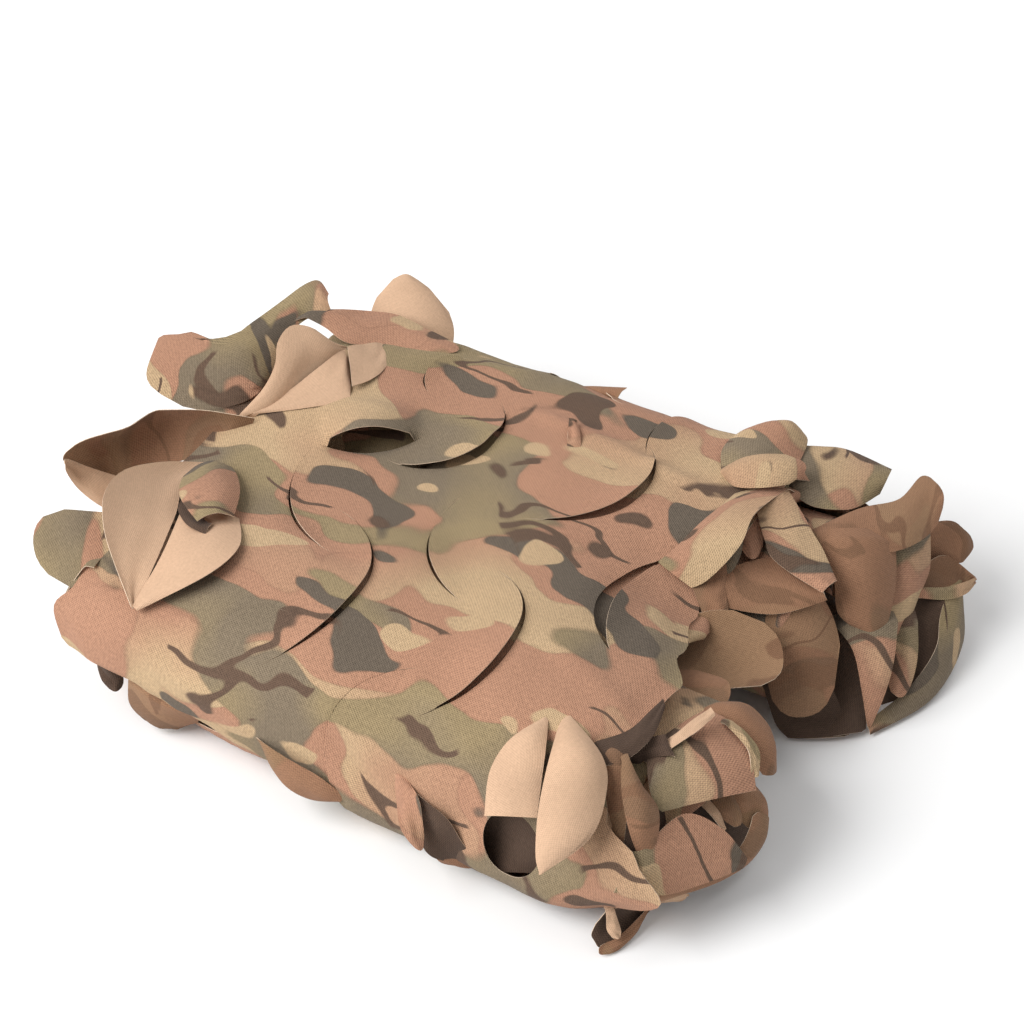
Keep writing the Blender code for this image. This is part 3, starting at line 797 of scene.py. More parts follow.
def sheet_place(across, x):
    """The place of a flat point on the outer sheet."""
    left, right = walk_edge(SHEET_LEFT, across), walk_edge(SHEET_RIGHT, across)
    (y, z), (out_y, out_z) = SECTION.at(across)
    rise = flap_rise(x, across) + crease_height(x, across) + puckers(x, across)
    rise -= SHEET_DROOP * (smooth(DROOP_LENGTH, 0, x - left) + smooth(DROOP_LENGTH, 0, right - x))
    return lay(x, y + out_y * rise, max(z + out_z * rise, FLOOR)) - MIDDLE


def hollowed(x, across):
    """How much deeper the under ply lies at a flat point."""
    deeper = 0.0
    for hollow in HOLLOWS:
        away = math.hypot(x / MM - hollow.x, across / MM - hollow.across)
        deeper = max(deeper, hollow.deep * MM * smooth(hollow.reach, hollow.reach / 2, away))
    return deeper


def folded(across, x, depth=0.0):
    """The place of a flat point on a ply: past either end it is folded round and back underneath."""
    left, right = edge_x(LEFT_EDGE, across), edge_x(RIGHT_EDGE, across)
    past = max(left - x, x - right, 0.0)
    way = -1 if x < (left + right) / 2 else 1
    on = min(max(x, left), right)
    (y, z), (out_y, out_z) = SECTION.at(across)
    rise = puckers(x, across) - depth
    if past > 0:
        turn = min(past / FOLD_RADIUS, math.pi)
        on += way * (FOLD_RADIUS * math.sin(turn) - max(past - math.pi * FOLD_RADIUS, 0))
        rise -= FOLD_RADIUS * (1 - math.cos(turn))
    return lay(on, y + out_y * rise, max(z + out_z * rise, FLOOR)) - MIDDLE


# ---------------------------------------------------------------- meshes


def crescent(cut):
    """The flat outline of a cut: its arc, and a flatter arc back that leaves the gap between them."""
    points = []
    half = cut.sweep / 2
    steps = max(int(math.radians(cut.sweep) * cut.radius * MM / ARC_STEP), ARC_LEAST_STEPS)
    for step in range(2 * steps):
        turn = step / steps
        outer = turn <= 1
        share = 2 * turn - 1 if outer else 3 - 2 * turn
        radius = cut.radius if outer else cut.radius - cut.gap * math.cos(math.pi / 2 * share)
        angle = math.radians(cut.towards + half * share)
        across, x = cut.across + radius * math.sin(angle), cut.x + radius * math.cos(angle)
        points.append(Vector((across, x)) * MM)
    return points


def opening(hole):
    """The flat outline of a round opening."""
    points = []
    for k in range(HOLE_STEPS):
        turn = 2 * math.pi * k / HOLE_STEPS
        across, x = hole.across + hole.wide * math.sin(turn), hole.x + hole.along * math.cos(turn)
        points.append(Vector((across, x)) * MM)
    return points


def inside(point, loop):
    """Whether a flat point is inside a loop of points."""
    odd = False
    for a, b in zip(loop, loop[1:] + loop[:1]):
        if (a.y > point.y) != (b.y > point.y):
            if point.x < a.x + (b.x - a.x) * (point.y - a.y) / (b.y - a.y):
                odd = not odd
    return odd


def near_a_cut(point):
    """Whether a flat point (across, x) lies on the line of a cut, or in a round opening."""
    for cut in CUTS:
        reach = Vector((point.y - cut.x * MM, point.x - cut.across * MM))
        away = reach.length - cut.radius * MM
        if -cut.gap * MM - CLEAR_OF_CUT < away < CLEAR_OF_CUT:
            angle = math.degrees(math.atan2(reach.y, reach.x)) - cut.towards
            if abs((angle + 180) % 360 - 180) < cut.sweep / 2 + CLEAR_OF_TIP:
                return True
    for hole in HOLES:
        along, wide = hole.along * MM, hole.wide * MM
        away = math.hypot((point.y - hole.x * MM) / along, (point.x - hole.across * MM) / wide)
        if away < 1 + CLEAR_OF_CUT / along:
            return True
    return False


def sheet_form():
    """The outer sheet, cut and folded, with its flat places kept as a vertex layer."""
    loops = [crescent(cut) for cut in CUTS] + [opening(hole) for hole in HOLES]
    points, edges = [], []
    for loop in loops:
        first = len(points)
        points += loop
        edges += [(first + k, first + (k + 1) % len(loop)) for k in range(len(loop))]
    columns = 2 * int(SHEET_REACH / SHEET_STEP)
    ends = []
    for column in range(columns + 1):
        across = SHEET_REACH * (2 * column / columns - 1)
        left, right = walk_edge(SHEET_LEFT, across), walk_edge(SHEET_RIGHT, across)
        along = round((right - left) / SHEET_STEP)
        row = [Vector((across, left + (right - left) * k / along)) for k in range(along + 1)]
        row = [row[0]] + [p for p in row[1:-1] if not near_a_cut(p)] + [row[-1]]
        ends.append((len(points), len(points) + len(row) - 1))
        points += row
    for (left0, right0), (left1, right1) in zip(ends, ends[1:]):
        edges += [(left0, left1), (right0, right1)]
    edges += [ends[0], ends[-1]]
    flat, _, faces, *_ = delaunay_2d_cdt(points, edges, [], 1, SAME_POINT)
    boxes = [[(min(axis), max(axis)) for axis in zip(*loop)] for loop in loops]
    kept = []
    for face in faces:
        middle = sum((flat[k] for k in face), Vector((0, 0))) / len(face)
        near = [
            loop
            for loop, ((x0, x1), (y0, y1)) in zip(loops, boxes)
            if x0 < middle.x < x1 and y0 < middle.y < y1
        ]
        if not any(inside(middle, loop) for loop in near):
            kept.append(face)
    mesh = bpy.data.meshes.new("flat sheet")
    mesh.from_pydata([(p.x, p.y, 0) for p in flat], [], kept)
    form = bmesh.new()
    form.from_mesh(mesh)
    bpy.data.meshes.remove(mesh)
    loose = [vert for vert in form.verts if not vert.link_faces]
    bmesh.ops.delete(form, geom=loose, context="VERTS")
    place = form.verts.layers.float_vector.new("flat")
    for vert in form.verts:
        across, x = vert.co.x, vert.co.y
        vert[place] = (x, across, 0)
        vert.co = sheet_place(across, x)
    face_out(form)
    return form


def ply_form(low, high, depth=0.0, step=PLY_STEP):
    """A ply of the bundle between two places across, whole, with its flat places as a vertex layer."""
    columns = max(int((high - low) / step), 4)
    form = bmesh.new()
    place = form.verts.layers.float_vector.new("flat")
    fold = math.pi * FOLD_RADIUS
    past = [fold * k / TURN_STEPS for k in range(1, TURN_STEPS + 1)]
    past += [fold + FOLDED_BACK * k / BACK_STEPS for k in range(1, BACK_STEPS + 1)]
    edge_steps = [EDGE_STEP * k for k in range(1, EDGE_STEPS + 1)]
    bmesh.ops.create_grid(form, x_segments=columns, y_segments=PLY_STATIONS, size=1)
    for vert in form.verts:
        across = low + (high - low) * (vert.co.x + 1) / 2
        left, right = edge_x(LEFT_EDGE, across), edge_x(RIGHT_EDGE, across)
        near = [left - d for d in reversed(past)] + [left] + [left + d for d in edge_steps]
        far = [right - d for d in reversed(edge_steps)] + [right] + [right + d for d in past]
        between = PLY_STATIONS + 1 - len(near) - len(far)
        gap = (far[0] - near[-1]) / (between + 1)
        line = near + [near[-1] + gap * (k + 1) for k in range(between)] + far
        x = line[round((vert.co.y + 1) / 2 * PLY_STATIONS)]
        vert[place] = (x, across, 0)
        vert.co = folded(across, x, depth + hollowed(x, across))
    face_out(form)
    return form


def face_out(form):
    """Turn a sheet's faces so that the outer side of the bundle's top is their front."""
    form.normal_update()
    top = max(form.faces, key=lambda face: face.calc_center_median().z)
    bmesh.ops.recalc_face_normals(form, faces=form.faces)
    form.normal_update()
    if top.normal.z < 0:
        bmesh.ops.reverse_faces(form, faces=form.faces)


def half_width(leaf, share):
    """Half the width of a round leaf at a share of its length."""
    share = max(share, 0.0)
    reach = LEAF_START if share < LEAF_FULLEST else 1 - LEAF_FULLEST
    return leaf.width / 2 * math.sqrt(max(1 - ((share - LEAF_FULLEST) / reach) ** 2, 0))


def flutter(share, off, seed, waves):
    """The small unevenness, in mm, of a leaf or band at a share of its length and a place across it."""
    return FLUTTER * noise.noise(Vector((share * waves[0], off * waves[1], seed * waves[2])))


def leaf_point(leaf, share, side, seed):
    """A point of a leaf in mm: share runs from root to tip, side from -1 to 1 across."""
    heading, climb, roll = (math.radians(angle) for angle in (leaf.heading, leaf.climb, leaf.roll))
    level = Vector((-math.sin(heading), math.cos(heading), 0))
    along = Vector(
        (math.cos(heading) * math.cos(climb), math.sin(heading) * math.cos(climb), math.sin(climb))
    )
    upward = along.cross(level)
    across = level * math.cos(roll) + upward * math.sin(roll)
    out = upward * math.cos(roll) - level * math.sin(roll)
    half = half_width(leaf, share)
    off = side * 2 * half / leaf.width
    stand = 4 * leaf.hump * share * (1 - share) + LEAF_CUP * off * off
    stand += leaf.curl * max(share - LEAF_CURL_START, 0) ** 2 / (1 - LEAF_CURL_START) ** 2
    stand += flutter(share, off, seed, LEAF_WAVES) * (0.5 + abs(off)) * smooth(*LEAF_CALM, share)
    swerve = 4 * leaf.bow * share * (1 - share)
    root = Vector((leaf.x, leaf.y, leaf.z))
    return root + along * leaf.length * share + across * (side * half + swerve) + out * stand


def view_axes(azimuth, elevation):
    """The right, up and back directions of a view."""
    level = Vector((math.sin(azimuth), -math.cos(azimuth), 0))
    back = level * math.cos(elevation) + Vector((0, 0, math.sin(elevation)))
    right = Vector((math.cos(azimuth), math.sin(azimuth), 0))
    return right, back.cross(right), back


def off_axis(column, row, distance=1):
    """How far a pixel lies right of the view's middle and below it, at a distance from the camera."""
    pixel = distance * SENSOR / (LENS * PHOTO_PIXELS)
    return (column - PHOTO_PIXELS / 2) * pixel, (row - PHOTO_PIXELS / 2) * pixel


def view_eye(azimuth, elevation, distance):
    """Where a view is seen from, in the rolls' frame, with the same point in the same pixel as the photo."""
    right, up, back = view_axes(azimuth, elevation)
    aside, down = off_axis(AIMED_COLUMN, AIMED_ROW, distance)
    return AIMED_AT + back * distance - right * aside + up * down


def seen_place(column, row, height, surface):
    """The place, in metres, that a pixel of the photo shows at a height."""
    right, up, back = view_axes(VIEW_AZIMUTH, VIEW_ELEVATION)
    eye = view_eye(VIEW_AZIMUTH, VIEW_ELEVATION, VIEW_DISTANCE)
    aside, down = off_axis(column, row)
    ray = right * aside - up * down - back
    if isinstance(height, Over):
        level = surface.ray_cast(eye, ray)[0].z + height.by * MM
    else:
        level = height * MM
    return eye + ray * (level - eye.z) / ray.z - MIDDLE


def search_tree(form):
    """A form's faces as a tree to search, in place of the form."""
    tree = BVHTree.FromBMesh(form)
    form.free()
    return tree


def outer_surface():
    """The bundle's outer surface in the rolls' frame, carried on past its ends, to measure heights over."""
    form = bmesh.new()
    bmesh.ops.create_grid(form, x_segments=SURFACE_STEPS[0], y_segments=SURFACE_STEPS[1], size=1)
    for vert in form.verts:
        across, x = vert.co.x * SURFACE_REACH[0], vert.co.y * SURFACE_REACH[1]
        vert.co = lay(x, *SECTION.at(across)[0])
    return search_tree(form)


def cloth_tree():
    """The surface of all the plies, to seat the leaves on."""
    return search_tree(ply_form(-SECTION.reach, SECTION.reach, step=SEAT_STEP))


def add_grid(form, stations, point_at):
    """Add a strip to a form. For a share of its length and a side, point_at gives a place and a flat one."""
    place = form.verts.layers.float_vector.get("flat")
    made = bmesh.ops.create_grid(form, x_segments=stations, y_segments=LEAF_RIBS, size=1)["verts"]
    for vert in made:
        point, flat = point_at((vert.co.x + 1) / 2, vert.co.y)
        point.z = max(point.z, FLOOR)
        vert[place] = (flat.x, flat.y, 0)
        vert.co = point
    return list({face for vert in made for face in vert.link_faces})


def add_leaf(form, leaf, tree, seed):
    """Add a leaf to a form, its root drawn onto the nearest cloth and tucked a little way under it."""
    root = Vector((leaf.x, leaf.y, leaf.z)) * MM - MIDDLE
    seat = tree.find_nearest(root)[0] - root
    turned = Matrix.Rotation(random.Random(seed).uniform(0, 2 * math.pi), 2)
    corner = Vector([seed * step % 1 for step in LEAF_CORNERS])
    low = -TUCKED_IN / leaf.length

    def point_at(u, side):
        share = low + (1 - low) * u
        point = leaf_point(leaf, share, side, seed) * MM - MIDDLE + seat * (1 - max(share, 0)) ** 2
        point.z -= TUCK_DEPTH * MM * (max(-share, 0) / -low)
        flat = Vector((share * leaf.length, side * half_width(leaf, share))) * MM
        flat.rotate(turned)
        return point, flat + corner

    faces = add_grid(form, LEAF_STATIONS, point_at)
    if leaf.face < 0:
        bmesh.ops.reverse_faces(form, faces=faces)


def along_spline(points, share):
    """A point at a share along a smooth line through the points."""
    place = min(max(share, 0.0), 1.0) * (len(points) - 1)
    k = min(int(place), len(points) - 2)
    t = place - k
    a, b = points[max(k - 1, 0)], points[k]
    c, d = points[k + 1], points[min(k + 2, len(points) - 1)]
    point = b * 2 + (c - a) * t
    point += (a * 2 - b * 5 + c * 4 - d) * t**2
    point += (b * 3 - a - c * 3 + d) * t**3
    return point / 2


def band_edges(band, tree, surface):
    """The two long edges of a band in metres, their roots drawn onto the cloth."""
    edges = []
    for side in (0, 3):
        line = [seen_place(*station[side : side + 3], surface) for station in band.stations]
        seat = tree.find_nearest(line[0])[0] - line[0]
        seat *= min(1, BAND_SEAT / max(seat.length, 1e-6))
        last = len(line) - 1
        edges.append([point + seat * (1 - k / last) ** 2 for k, point in enumerate(line)])
    return edges


def add_band(form, band, tree, surface, seed):
    """Add a band to a form, and return its area in square metres."""
    near, far = band_edges(band, tree, surface)
    draw = random.Random(seed)
    corner = Vector((draw.random(), draw.random()))
    turned = Matrix.Rotation(draw.uniform(0, 2 * math.pi), 2)

    def middle(share):
        return (along_spline(near, share) + along_spline(far, share)) / 2

    walked = [0.0]
    for k in range(BAND_STEPS):
        walked.append(walked[-1] + (middle((k + 1) / BAND_STEPS) - middle(k / BAND_STEPS)).length)
    tuck = 0 if band.name in LOOSE_BANDS else TUCKED_IN * MM / walked[-1]
    run = middle(0.5 + BAND_MIDWAY) - middle(0.5 - BAND_MIDWAY)
    flip = run.cross(along_spline(near, 0.5) - along_spline(far, 0.5)).dot(SHOWN_FROM) < 0

    def point_at(u, side):
        share = -tuck + (1 + tuck) * u
        if share > 0:
            share *= 1 - band.tip * (1 - math.sqrt(max(1 - side * side, 0)))
        on = max(share, 0.0)
        a, b = along_spline(near, on), along_spline(far, on)
        half = (a - b) / 2
        ahead = middle(min(on + BAND_AHEAD, 1)) - middle(max(on - BAND_AHEAD, 0))
        normal = ahead.cross(half)
        normal = normal.normalized() if normal.length > 0 else Vector((0, 0, 1))
        if flip:
            normal.negate()
        full = smooth(0, 2 * abs(band.bulge) * MM + BULGE_ROOM, half.length)
        arched = 1 - (abs(side) if band.fold else side * side)
        stand = band.bulge * arched * full + flutter(on, side, seed, BAND_WAVES) * smooth(*BAND_CALM, on)
        point = (a + b) / 2 + half * side + normal * stand * MM
        if share < 0:
            point += ahead.normalized() * share * walked[-1] - normal * TUCK_DEPTH * MM * share / -tuck
        k = min(int(on * BAND_STEPS), BAND_STEPS - 1)
        along = walked[k] + (walked[k + 1] - walked[k]) * (on * BAND_STEPS - k)
        flat = Vector((along + min(share, 0) * walked[-1], side * half.length))
        flat.rotate(turned)
        return point, flat + corner

    faces = add_grid(form, BAND_STATIONS, point_at)
    area = sum(face.calc_area() for face in faces)
    if flip != (band.face < 0):
        bmesh.ops.reverse_faces(form, faces=faces)
    for face in faces:
        face.material_index = SIDE_SLOTS.get(band.face, 0)
    return area


def leaf_area(leaf):
    """The flat area of a leaf in square metres."""
    steps = LEAF_AREA_STEPS
    wide = sum(2 * half_width(leaf, (k + 0.5) / steps) for k in range(steps)) / steps
    return (wide * leaf.length + 2 * half_width(leaf, 0) * TUCKED_IN) * MM * MM


# ---------------------------------------------------------------- colours and cloth


def socket(group, name, kind, way, default=None, low=None, high=None):
    """A named input or output of a node group."""
    made = group.interface.new_socket(name=name, in_out=way, socket_type=kind)
    if default is not None:
        made.default_value = default
    if low is not None:
        made.min_value, made.max_value = low, high
    return made


def feed(tree, target, value):
    """Link a socket to an input, or set the input to a plain value."""
    if isinstance(value, bpy.types.NodeSocket):
        tree.links.new(value, target)
    else:
        target.default_value = value


def add_node(tree, kind, inputs=None, **values):
    """A new node with its properties set, and with its inputs linked or set."""
    node = tree.nodes.new(kind)
    for key, value in values.items():
        setattr(node, key, value)
    for key, value in (inputs or {}).items():
        feed(tree, node.inputs[key], value)
    return node


def maths(tree, operation, *values):
    """A Math node's output. Each of its inputs is a number or a socket."""
    return add_node(tree, "ShaderNodeMath", dict(enumerate(values)), operation=operation).outputs[0]


def vector_maths(tree, operation, first, second):
    """A Vector Math node's output, for two vectors or a vector and its scale."""
    inputs = {0: first, "Scale" if operation == "SCALE" else 1: second}
    return add_node(tree, "ShaderNodeVectorMath", inputs, operation=operation).outputs[0]


def noise_at(tree, place, kind):
    """A noise value over the cloth, stretched and turned."""
    inputs = {"Location": kind.offset, "Rotation": (0, 0, kind.turn), "Scale": kind.stretch, "Vector": place}
    place = add_node(tree, "ShaderNodeMapping", inputs).outputs[0]
    inputs = {"Scale": kind.scale, "Detail": kind.detail, "Roughness": NOISE_ROUGHNESS, "Vector": place}
    return add_node(tree, "ShaderNodeTexNoise", inputs).outputs["Fac"]


def step_at(tree, value, threshold, softness=PRINT_EDGE):
    """0 below the threshold and 1 above it, with a narrow printed edge."""
    inputs = {"From Min": threshold - softness, "From Max": threshold + softness, "Value": value}
    return add_node(tree, "ShaderNodeMapRange", inputs, clamp=True).outputs[0]


def below(tree, value, threshold, softness):
    """1 below the threshold and 0 above it."""
    return maths(tree, "SUBTRACT", 1.0, step_at(tree, value, threshold, softness))


def blend_colours(tree, factor, first, second):
    """One colour over another. Each is a socket or a colour."""
    node = add_node(tree, "ShaderNodeMix", {"Factor": factor}, data_type="RGBA")
    for name, value in (("A", first), ("B", second)):
        target = [s for s in node.inputs if s.name == name and s.type == "RGBA"][0]
        feed(tree, target, value if isinstance(value, bpy.types.NodeSocket) else (*value, 1))
    return [s for s in node.outputs if s.type == "RGBA"][0]


def shaded(tree, place, kind, softness, first, second):
    """Two colours that run softly into each other."""
    over = step_at(tree, noise_at(tree, place, kind), kind.above, softness)
    return blend_colours(tree, over, first, second)


def outlined(tree, place, ground, kind, colour):
    """A colour over the ground where a noise is above its threshold, a little darker along its edge."""
    value = noise_at(tree, place, kind)
    over = blend_colours(tree, step_at(tree, value, kind.above), ground, colour)
    off = maths(tree, "ABSOLUTE", maths(tree, "SUBTRACT", value, kind.above))
    rim = below(tree, off, PRINT_RIM, PRINT_RIM)
    return vector_maths(tree, "SCALE", over, maths(tree, "MULTIPLY_ADD", rim, -PRINT_RIM_SHADE, 1.0))


def print_group(colours):
    """Hard-edged blotches in the netting's colours, as a node group over a place on the cloth."""
    group = bpy.data.node_groups.new("camouflage print", "ShaderNodeTree")
    socket(group, "Place", "NodeSocketVector", "INPUT")
    socket(group, "Color", "NodeSocketColor", "OUTPUT")
    given = add_node(group, "NodeGroupInput").outputs["Place"]
    warp = add_node(group, "ShaderNodeTexNoise", {**WARP_NOISE, "Vector": given}).outputs["Color"]
    centred = vector_maths(group, "SUBTRACT", warp, (0.5, 0.5, 0.5))
    moved = vector_maths(group, "ADD", given, vector_maths(group, "SCALE", centred, PRINT_WARP))
    place = vector_maths(group, "SCALE", moved, PRINT_SCALE)

    ground = shaded(group, place, GROUND_NOISE, GROUND_SOFTNESS, colours.clay, colours.sand)
    ground = outlined(group, place, ground, CLAY_NOISE, colours.clay)
    olive = shaded(group, place, KHAKI_NOISE, KHAKI_SOFTNESS, colours.olive, colours.khaki)
    ground = outlined(group, place, ground, OLIVE_NOISE, olive)
    ground = outlined(group, place, ground, MOSS_NOISE, colours.moss)
    branch = maths(group, "SUBTRACT", noise_at(group, place, BRANCH_NOISE), BRANCH_NOISE.above)
    line = below(group, maths(group, "ABSOLUTE", branch), BRANCH_WIDTH, BRANCH_EDGE)
    broken = step_at(group, noise_at(group, place, BREAKS_NOISE), BREAKS_NOISE.above)
    ground = blend_colours(group, maths(group, "MULTIPLY", line, broken), ground, colours.bark)
    ground = outlined(group, place, ground, PATCH_NOISE, colours.bark)
    light = step_at(group, noise_at(group, place, LIGHT_NOISE), LIGHT_NOISE.above)
    ground = blend_colours(group, light, ground, colours.sand)
    flecks = add_node(group, "ShaderNodeTexVoronoi", {**FLECKS, "Vector": place})
    near = below(group, flecks.outputs["Distance"], FLECK_SIZE, FLECK_EDGE)
    parts = add_node(group, "ShaderNodeSeparateColor", {0: flecks.outputs["Color"]})
    some = step_at(group, parts.outputs[0], FLECKS_LEFT_OUT, 0.001)
    ground = blend_colours(group, maths(group, "MULTIPLY", near, some), ground, colours.fleck)
    add_node(group, "NodeGroupOutput", {"Color": ground})
    return group


def weave_group():
    """Diagonal threads of the cloth, as a height and a slight change of tone."""
    group = bpy.data.node_groups.new("cloth weave", "ShaderNodeTree")
    socket(group, "Place", "NodeSocketVector", "INPUT")
    socket(group, "Thread", "NodeSocketFloat", "INPUT", 0.0017, 0.0003, 0.01)
    socket(group, "Contrast", "NodeSocketFloat", "INPUT", 0.25, 0, 1)
    socket(group, "Height", "NodeSocketFloat", "OUTPUT")
    socket(group, "Tone", "NodeSocketFloat", "OUTPUT")
    given = add_node(group, "NodeGroupInput").outputs
    parts = add_node(group, "ShaderNodeSeparateXYZ", {0: given["Place"]}).outputs
    waves = []
    for operation in ("ADD", "SUBTRACT"):
        diagonal = maths(group, operation, parts[0], parts[1])
        turns = maths(group, "DIVIDE", diagonal, given["Thread"])
        waves.append(maths(group, "SINE", maths(group, "MULTIPLY", turns, math.pi)))
    crossing = maths(group, "MULTIPLY", maths(group, "MULTIPLY", *waves), 1 - RIB_SHARE)
    ribs = maths(group, "MULTIPLY_ADD", waves[0], RIB_SHARE, crossing)
    uneven = noise_at(group, given["Place"], THREAD_NOISE)
    height = maths(group, "MULTIPLY_ADD", uneven, UNEVEN_THREADS, ribs)
    centred = maths(group, "SUBTRACT", height, UNEVEN_THREADS / 2)
    tone = maths(group, "MULTIPLY_ADD", centred, given["Contrast"], 1.0)
    soil = noise_at(group, given["Place"], SOIL_NOISE)
    clean = maths(group, "MULTIPLY_ADD", soil, SOIL_SHADE, 1 - SOIL_SHADE / 2)
    add_node(group, "NodeGroupOutput", {"Height": height, "Tone": maths(group, "MULTIPLY", tone, clean)})
    return group


def cloth_material(name, weave, thread, contrast, colour=None, pattern=None, roughness=0.85):
    """Woven cloth: printed, plain where it has a colour, or both, with the print faintly seen through it."""
    material = bpy.data.materials.new(name)
    material.use_nodes = True
    tree = material.node_tree
    flat = add_node(tree, "ShaderNodeUVMap", uv_map="cloth").outputs[0]
    base = None
    if pattern:
        base = add_node(tree, "ShaderNodeGroup", {"Place": flat}, node_tree=pattern).outputs["Color"]
    if colour is not None:
        worn = noise_at(tree, flat, WORN_NOISE)
        plain = blend_colours(tree, worn, [part * WORN_SHADE for part in colour], colour)
        base = blend_colours(tree, BLEED, plain, base) if pattern else plain
    inputs = {"Thread": thread, "Contrast": contrast, "Place": flat}
    threads = add_node(tree, "ShaderNodeGroup", inputs, node_tree=weave).outputs
    inputs = {"Strength": THREAD_BUMP, "Distance": THREAD_RELIEF, "Height": threads["Height"]}
    surface = {
        "Base Color": vector_maths(tree, "SCALE", base, threads["Tone"]),
        "Normal": add_node(tree, "ShaderNodeBump", inputs).outputs[0],
        "Roughness": roughness,
        **CLOTH_SURFACE,
    }
    for key, value in surface.items():
        feed(tree, tree.nodes["Principled BSDF"].inputs[key], value)
    return material


def cloth_materials(context):
    """The netting's finishes, made once, as slots: the two sides and the cut edge of each sort."""
    names = ("printed cloth", "plain side of the cloth", "cut edge", "browned plain side", "painted shade cloth")
    if names[0] not in bpy.data.materials:
        colours = context.scene.netting_colours
        weave = weave_group()
        pattern = print_group(colours)
        cloth_material(names[0], weave, PRINTED_THREAD, 0.5, pattern=pattern)
        cloth_material(names[1], weave, PLAIN_THREAD, 0.22, colours.plain, roughness=0.8)
        cloth_material(names[2], weave, PLAIN_THREAD, 0.22, colours.thread, roughness=0.95)
        # The plain side painted a darker brown as shade, with the print faintly through it.
        cloth_material(names[3], weave, PRINTED_THREAD, 0.3, colours.painted_shade_brown, pattern)
        # Dark brown painted for cloth that lies in shade.
        cloth_material(names[4], weave, PRINTED_THREAD, 0.4, colours.dark)
    printed, plain, rim, painted_shade_brown, dark = (bpy.data.materials[name] for name in names)
    return printed, plain, rim, printed, painted_shade_brown, rim, printed, dark, rim


def finish_cloth(context, name, form):
    """Make a form a piece of the netting: its flat places as UV, its thickness, its finishes, its body."""
    uv = form.loops.layers.uv.new("cloth")
    place = form.verts.layers.float_vector.get("flat")
    for face in form.faces:
        face.smooth = True
        for loop in face.loops:
            loop[uv].uv = loop.vert[place].xy
    mesh = bpy.data.meshes.new(name)
    form.to_mesh(mesh)
    form.free()
    mesh.attributes.remove(mesh.attributes["flat"])
    thing = bpy.data.objects.new(name, mesh)
    context.scene.collection.objects.link(thing)
    for material in cloth_materials(context):
        mesh.materials.append(material)
    solid = thing.modifiers.new("Cloth thickness", "SOLIDIFY")
    solid.thickness = context.scene.netting_sizes.cloth_thickness
    solid.offset = -1
    solid.material_offset = 1
    solid.material_offset_rim = 2
    context.view_layer.update()
    evaluated = thing.evaluated_get(context.evaluated_depsgraph_get())
    finished = bpy.data.meshes.new_from_object(evaluated)
    finished.name = name
    thing.modifiers.clear()
    thing.data = finished
    bpy.data.meshes.remove(mesh)
    finished.set_sharp_from_angle(angle=math.radians(CUT_RIM_ANGLE))
    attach(thing, "root")
    return thing


def leaf_group(context, name, leaves, bands, seed):
    """Several leaves and flaps as one piece."""
    form = bmesh.new()
    form.verts.layers.float_vector.new("flat")
    tree, surface = cloth_tree(), outer_surface()
    area = sum(leaf_area(leaf) for leaf in leaves)
    for number, leaf in enumerate(leaves):
        add_leaf(form, leaf, tree, seed + number)
    for number, band in enumerate(bands):
        area += add_band(form, band, tree, surface, seed + BAND_SEEDS + number)
    bmesh.ops.remove_doubles(form, verts=form.verts, dist=WELDED)
    finish_cloth(context, name, form)


# ---------------------------------------------------------------- settings


class NettingSizes(bpy.types.PropertyGroup):
    """Sizes of the visible cloth."""

    cloth_thickness: bpy.props.FloatProperty(
        name="Cloth thickness", description="Thickness of the cloth", default=0.0005, unit="LENGTH"
    )


def colour_property(name, description, default):
    """A colour that a user may change."""
    return bpy.props.FloatVectorProperty(
        name=name, description=description, default=default, subtype="COLOR", size=3, min=0, max=1
    )


class NettingColours(bpy.types.PropertyGroup):
    """Colours of the print, of the plain side, and of the painted shade on flaps."""

    clay: colour_property("Clay", "Pink-brown ground of the print", (0.378, 0.202, 0.128))
    sand: colour_property("Sand", "Light tan blotches", (0.450, 0.315, 0.185))
    khaki: colour_property("Khaki", "Yellowish green blotches", (0.271, 0.204, 0.112))
    olive: colour_property("Olive", "Grey-green blotches", (0.188, 0.145, 0.098))
    moss: colour_property("Moss", "Dark grey-green blotches", (0.120, 0.094, 0.070))
    bark: colour_property("Bark", "Dark brown branches", (0.114, 0.071, 0.048))
    fleck: colour_property("Fleck", "Small light marks", (0.665, 0.503, 0.361))
    # Painted shade: a darker brown for the plain side of flaps in shade, and a dark brown for cloth in
    # shadow.
    painted_shade_brown: colour_property("Painted shade brown", "Plain side painted brown as shade, the print faintly through it", (0.245, 0.128, 0.070))
    dark: colour_property("Painted shade dark", "Dark brown painted where cloth lies in shade", (0.085, 0.053, 0.037))
    plain: colour_property("Plain side", "Unprinted side of the cloth", (0.610, 0.400, 0.262))
    thread: colour_property("Cut edge", "Threads at the cut edges", (0.700, 0.540, 0.400))


class StudioSettings(bpy.types.PropertyGroup):
    """The plain studio round the netting."""

    floor: colour_property("Floor", "Colour of the floor", (0.90, 0.90, 0.90))
    surround: bpy.props.FloatProperty(
        name="Surround", description="Strength of the light from all round", default=0.50, min=0
    )
    key: bpy.props.FloatProperty(
        name="Key light", description="Power of the light over the front left", default=265, unit="POWER"
    )
    azimuth: bpy.props.FloatProperty(
        name="Azimuth", description="Bearing of the camera", default=VIEW_AZIMUTH, subtype="ANGLE"
    )
    elevation: bpy.props.FloatProperty(
        name="Elevation", description="Height of the camera", default=VIEW_ELEVATION, subtype="ANGLE"
    )
    distance: bpy.props.FloatProperty(
        name="Distance", description="Camera to netting", default=VIEW_DISTANCE, unit="LENGTH"
    )


# ---------------------------------------------------------------- pieces


class NETTING_OT_sheet(bpy.types.Operator):
    """Lay the outer sheet over both rolls, with its cuts and its folded ends"""

    bl_idname = "netting.sheet"
    bl_label = "Outer sheet"

    def execute(self, context):
        thing = finish_cloth(context, "outer_sheet", sheet_form())
        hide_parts("netting")
        return {"FINISHED"}


